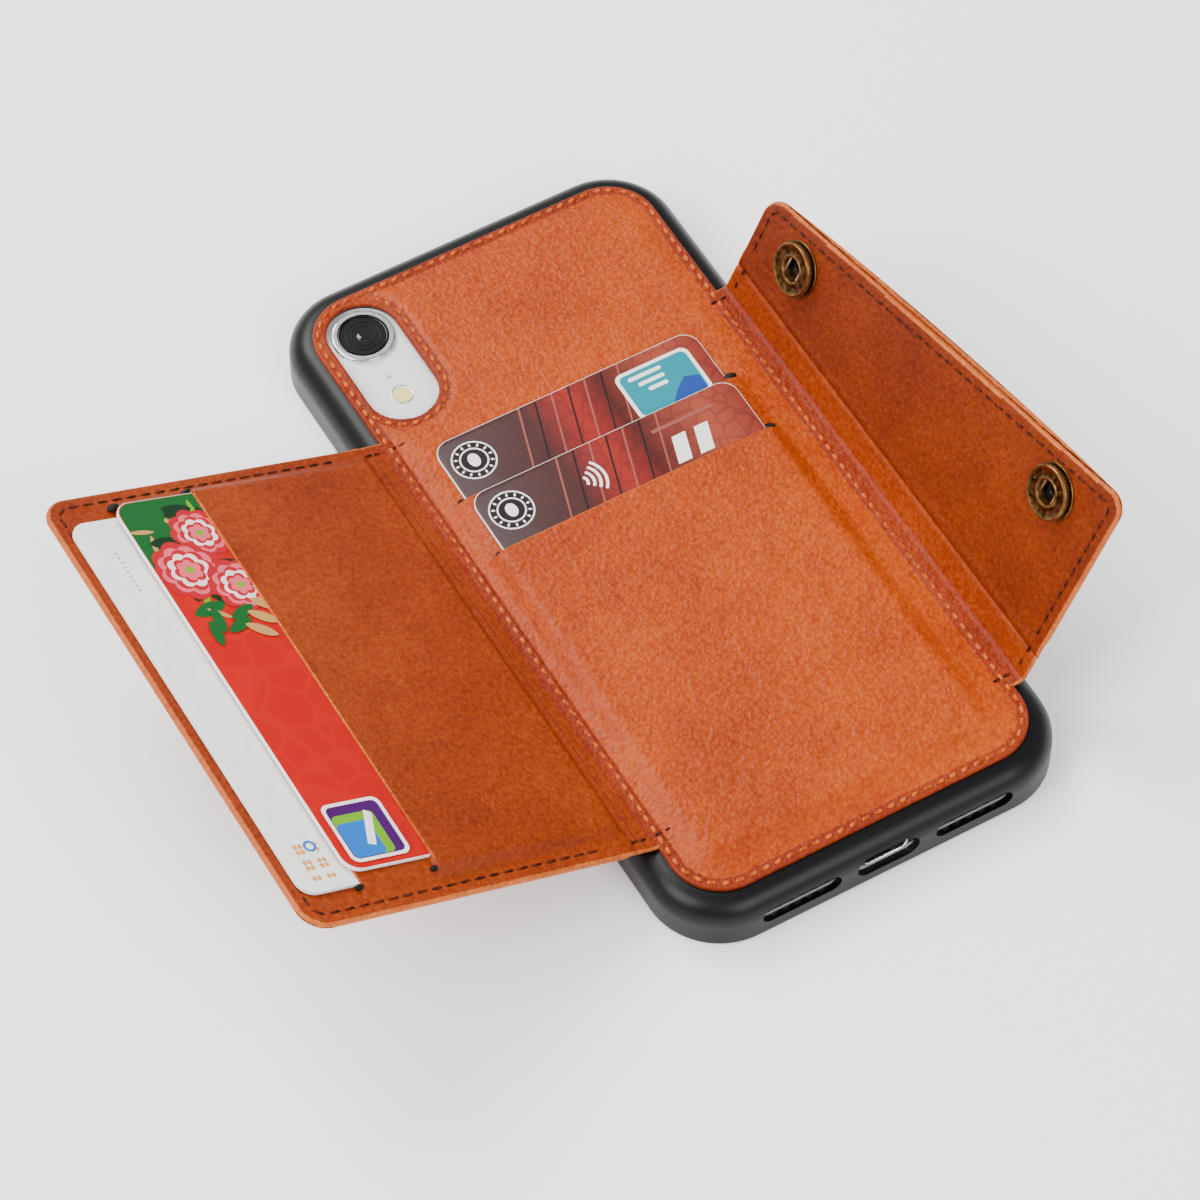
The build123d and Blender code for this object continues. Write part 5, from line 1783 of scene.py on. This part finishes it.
@dataclass
class Phone:
    """The phone inside the bumper: CAD nodes with their finishes, and a detailed lens."""

    case: CaseFrame
    lens_z: float = 9.9
    end_y: float = -75.5
    middle_z: float = 4.95

    def build(self) -> None:
        """Dress the phone."""
        for name, look in (("phone_frame", Look.SILVER), ("phone_back_glass", Look.WHITE_GLASS),
                           ("phone_screen_glass", Look.BLACK_GLASS), ("camera_bezel", Look.SILVER),
                           ("flash_lens", Look.FLASH), ("charge_socket", Look.SILVER),
                           ("volume_up_button", Look.SILVER), ("volume_down_button", Look.SILVER),
                           ("side_button", Look.SILVER), ("ring_switch", Look.SILVER),
                           ("camera_lens", Look.LENS_RING)):
            dress(name, look)
        self.lens()
        self.charging_end()

    def charging_end(self) -> None:
        """Bright mouth of the charging socket, and black rims at the speaker holes as painted shade of their
        insides.
        """
        out = np.array([0.0, -1.0, 0.0])
        turn = np.linspace(0, 2 * np.pi, 9)[:-1]

        def rim(name: str, outline: Grid, thick: float) -> bpy.types.Object:
            """Sweep a thin bead round an outline on the charging end."""
            path = np.column_stack([outline[:, 0], np.full(len(outline), self.end_y), outline[:, 1]])
            section = np.stack([thick * np.cos(turn), 0.7 * thick * np.sin(turn)], 1)
            return sweep(name, path, np.tile(out, (len(path), 1)), section)

        mouth = rim("port_mouth", obround(0.0, self.middle_z, 9.0, 3.2), 0.3)
        finished(mouth, "phone", Look.SILVER.made)
        # painted shade: black glossy rims stand for the dark insides of the speaker holes
        holes = [rim("hole", arc((side * 17.3 + (k - 2.5) * 2.4, self.middle_z), 0.95, 0, 345, 24), 0.26)
                 for side in (-1, 1) for k in range(6)]
        finished(join(holes, "speaker_hole_rims"), "phone", Look.BLACK_GLASS.made)

    def lens(self) -> None:
        """Stepped black rings and a small coated glass over the lens node."""
        x, y = self.case.window_x, self.case.window_high
        rings = ((4.75, 4.15, 0.1, Look.BLACK_GLASS), (3.3, 3.05, 0.05, Look.LENS_RING),
                 (2.35, 2.15, 0.06, Look.LENS_RING))
        pieces = []
        for outer, inner, height, look in rings:
            outline = arc((x, y), (outer + inner) / 2, 0, 360, 65)[:-1]
            path = np.column_stack([outline, np.full(len(outline), self.lens_z)])
            up = np.tile([0.0, 0.0, 1.0], (len(path), 1))
            half = (outer - inner) / 2
            section = np.array([(-half, 0), (half, 0), (half * 0.7, height), (-half * 0.7, height)])
            ring = sweep(f"lens_ring_{int(outer * 10)}", path, up, section)
            pieces.append(finished(ring, "phone", look.made))
        bpy.ops.object.select_all(action="DESELECT")
        bpy.ops.mesh.primitive_uv_sphere_add(segments=48, ring_count=24, radius=MM, location=(0, 0, 0))
        dome = bpy.context.object
        dome.name = "lens_dome"
        for vertex in dome.data.vertices:
            c = vertex.co / MM
            vertex.co = Vector((x + c.x * 1.25, y + c.y * 1.25, self.lens_z - 0.02 + c.z * 0.22)) * MM
        outline = arc((x, self.case.window_low), 2.0, 0, 360, 49)[:-1]
        path = np.column_stack([outline, np.full(len(outline), 9.1)])
        ring = sweep("flash_ring", path, np.tile([0.0, 0.0, 1.0], (len(path), 1)),
                     np.array([(-0.2, -0.05), (0.2, -0.05), (0.12, 0.1), (-0.12, 0.1)]))
        finished(ring, "phone", Look.SILVER.made)
        finished(dome, "phone", Look.LENS_GLASS.made)
        shade(dome, 60)


# ------------------------------------------------------------------ studio
@dataclass
class Studio:
    """Pale floor, soft lights and the camera."""

    position: tuple[float, float, float] = (-0.28729, -0.46507, 0.76465)
    forward: tuple[float, float, float] = (0.29227, 0.49466, -0.81847)
    right: tuple[float, float, float] = (0.86534, -0.50115, 0.00613)
    lens_mm: float = 157.52

    def build(self) -> None:
        """Set the stage."""
        self.camera()
        self.floor()
        self.lights()

    def camera(self) -> None:
        """The camera at the wanted viewing angle."""
        data = bpy.data.cameras.new("camera")
        data.lens, data.sensor_width = self.lens_mm, 36.0
        data.clip_start, data.clip_end = 0.05, 20.0
        camera = bpy.data.objects.new("camera", data)
        forward = Vector(self.forward).normalized()
        right = Vector(self.right)
        right = (right - forward * right.dot(forward)).normalized()
        up = right.cross(forward)
        turn = Matrix((right, up, -forward)).transposed().to_4x4()
        camera.matrix_world = Matrix.Translation(Vector(self.position)) @ turn
        bpy.context.scene.collection.objects.link(camera)
        bpy.context.scene.camera = camera

    def floor(self) -> None:
        """A plain white floor that glows a little, as a lit sweep does."""
        bpy.ops.object.select_all(action="DESELECT")
        bpy.ops.mesh.primitive_plane_add(size=12.0, location=(0, 0, -0.0002))
        floor = bpy.context.object
        floor.name = "floor"
        material, _, shader = blank("studio floor")
        shader.inputs["Base Color"].default_value = linear("ffffff")
        shader.inputs["Roughness"].default_value = 0.9
        shader.inputs["Emission Color"].default_value = linear("ffffff")
        shader.inputs["Emission Strength"].default_value = 0.25
        floor.data.materials.append(material)

    def lights(self) -> None:
        """One large soft light above, two softer ones and a bright room."""
        for name, place, size, power in (("top", (-0.2, 0.95, 1.1), 0.7, 22.0),
                                         ("left", (-1.1, 0.0, 1.1), 0.9, 24.0),
                                         ("front", (0.2, -1.2, 1.0), 0.8, 14.0)):
            data = bpy.data.lights.new(name, "AREA")
            data.size, data.energy = size, power
            light = bpy.data.objects.new(name, data)
            light.location = place
            light.rotation_mode = "QUATERNION"
            light.rotation_quaternion = (Vector((0, 0, 0)) - Vector(place)).to_track_quat("-Z", "Y")
            bpy.context.scene.collection.objects.link(light)
        world = bpy.data.worlds.new("room")
        world.use_nodes = True
        world.node_tree.nodes["Background"].inputs[0].default_value = (1, 1, 1, 1)
        world.node_tree.nodes["Background"].inputs[1].default_value = 0.7
        bpy.context.scene.world = world


def main() -> None:
    """Build the looks in order."""
    logging.basicConfig(level=logging.INFO, format="%(name)s %(message)s")
    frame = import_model()
    for piece in frame["nodes"].values():
        piece.select_set(False)
    case = CaseFrame.read()
    left = Fold(side=-1, crease_x=-35.7, crease_z=case.margin_z - 0.05, tilt=22.25, bend=4.726)
    right = Fold(side=1, crease_x=37.0, crease_z=case.margin_z, tilt=67.0, bend=8.241)
    Studio().build()
    BackPanel(case).build()
    BackSewing(case).build()
    CardFlap(left).build()
    Clasp(right).build()
    Snaps(right).build()
    Cards(case, left).build()
    Bumper().build()
    Phone(case).build()


if __name__ == "__main__":
    main()
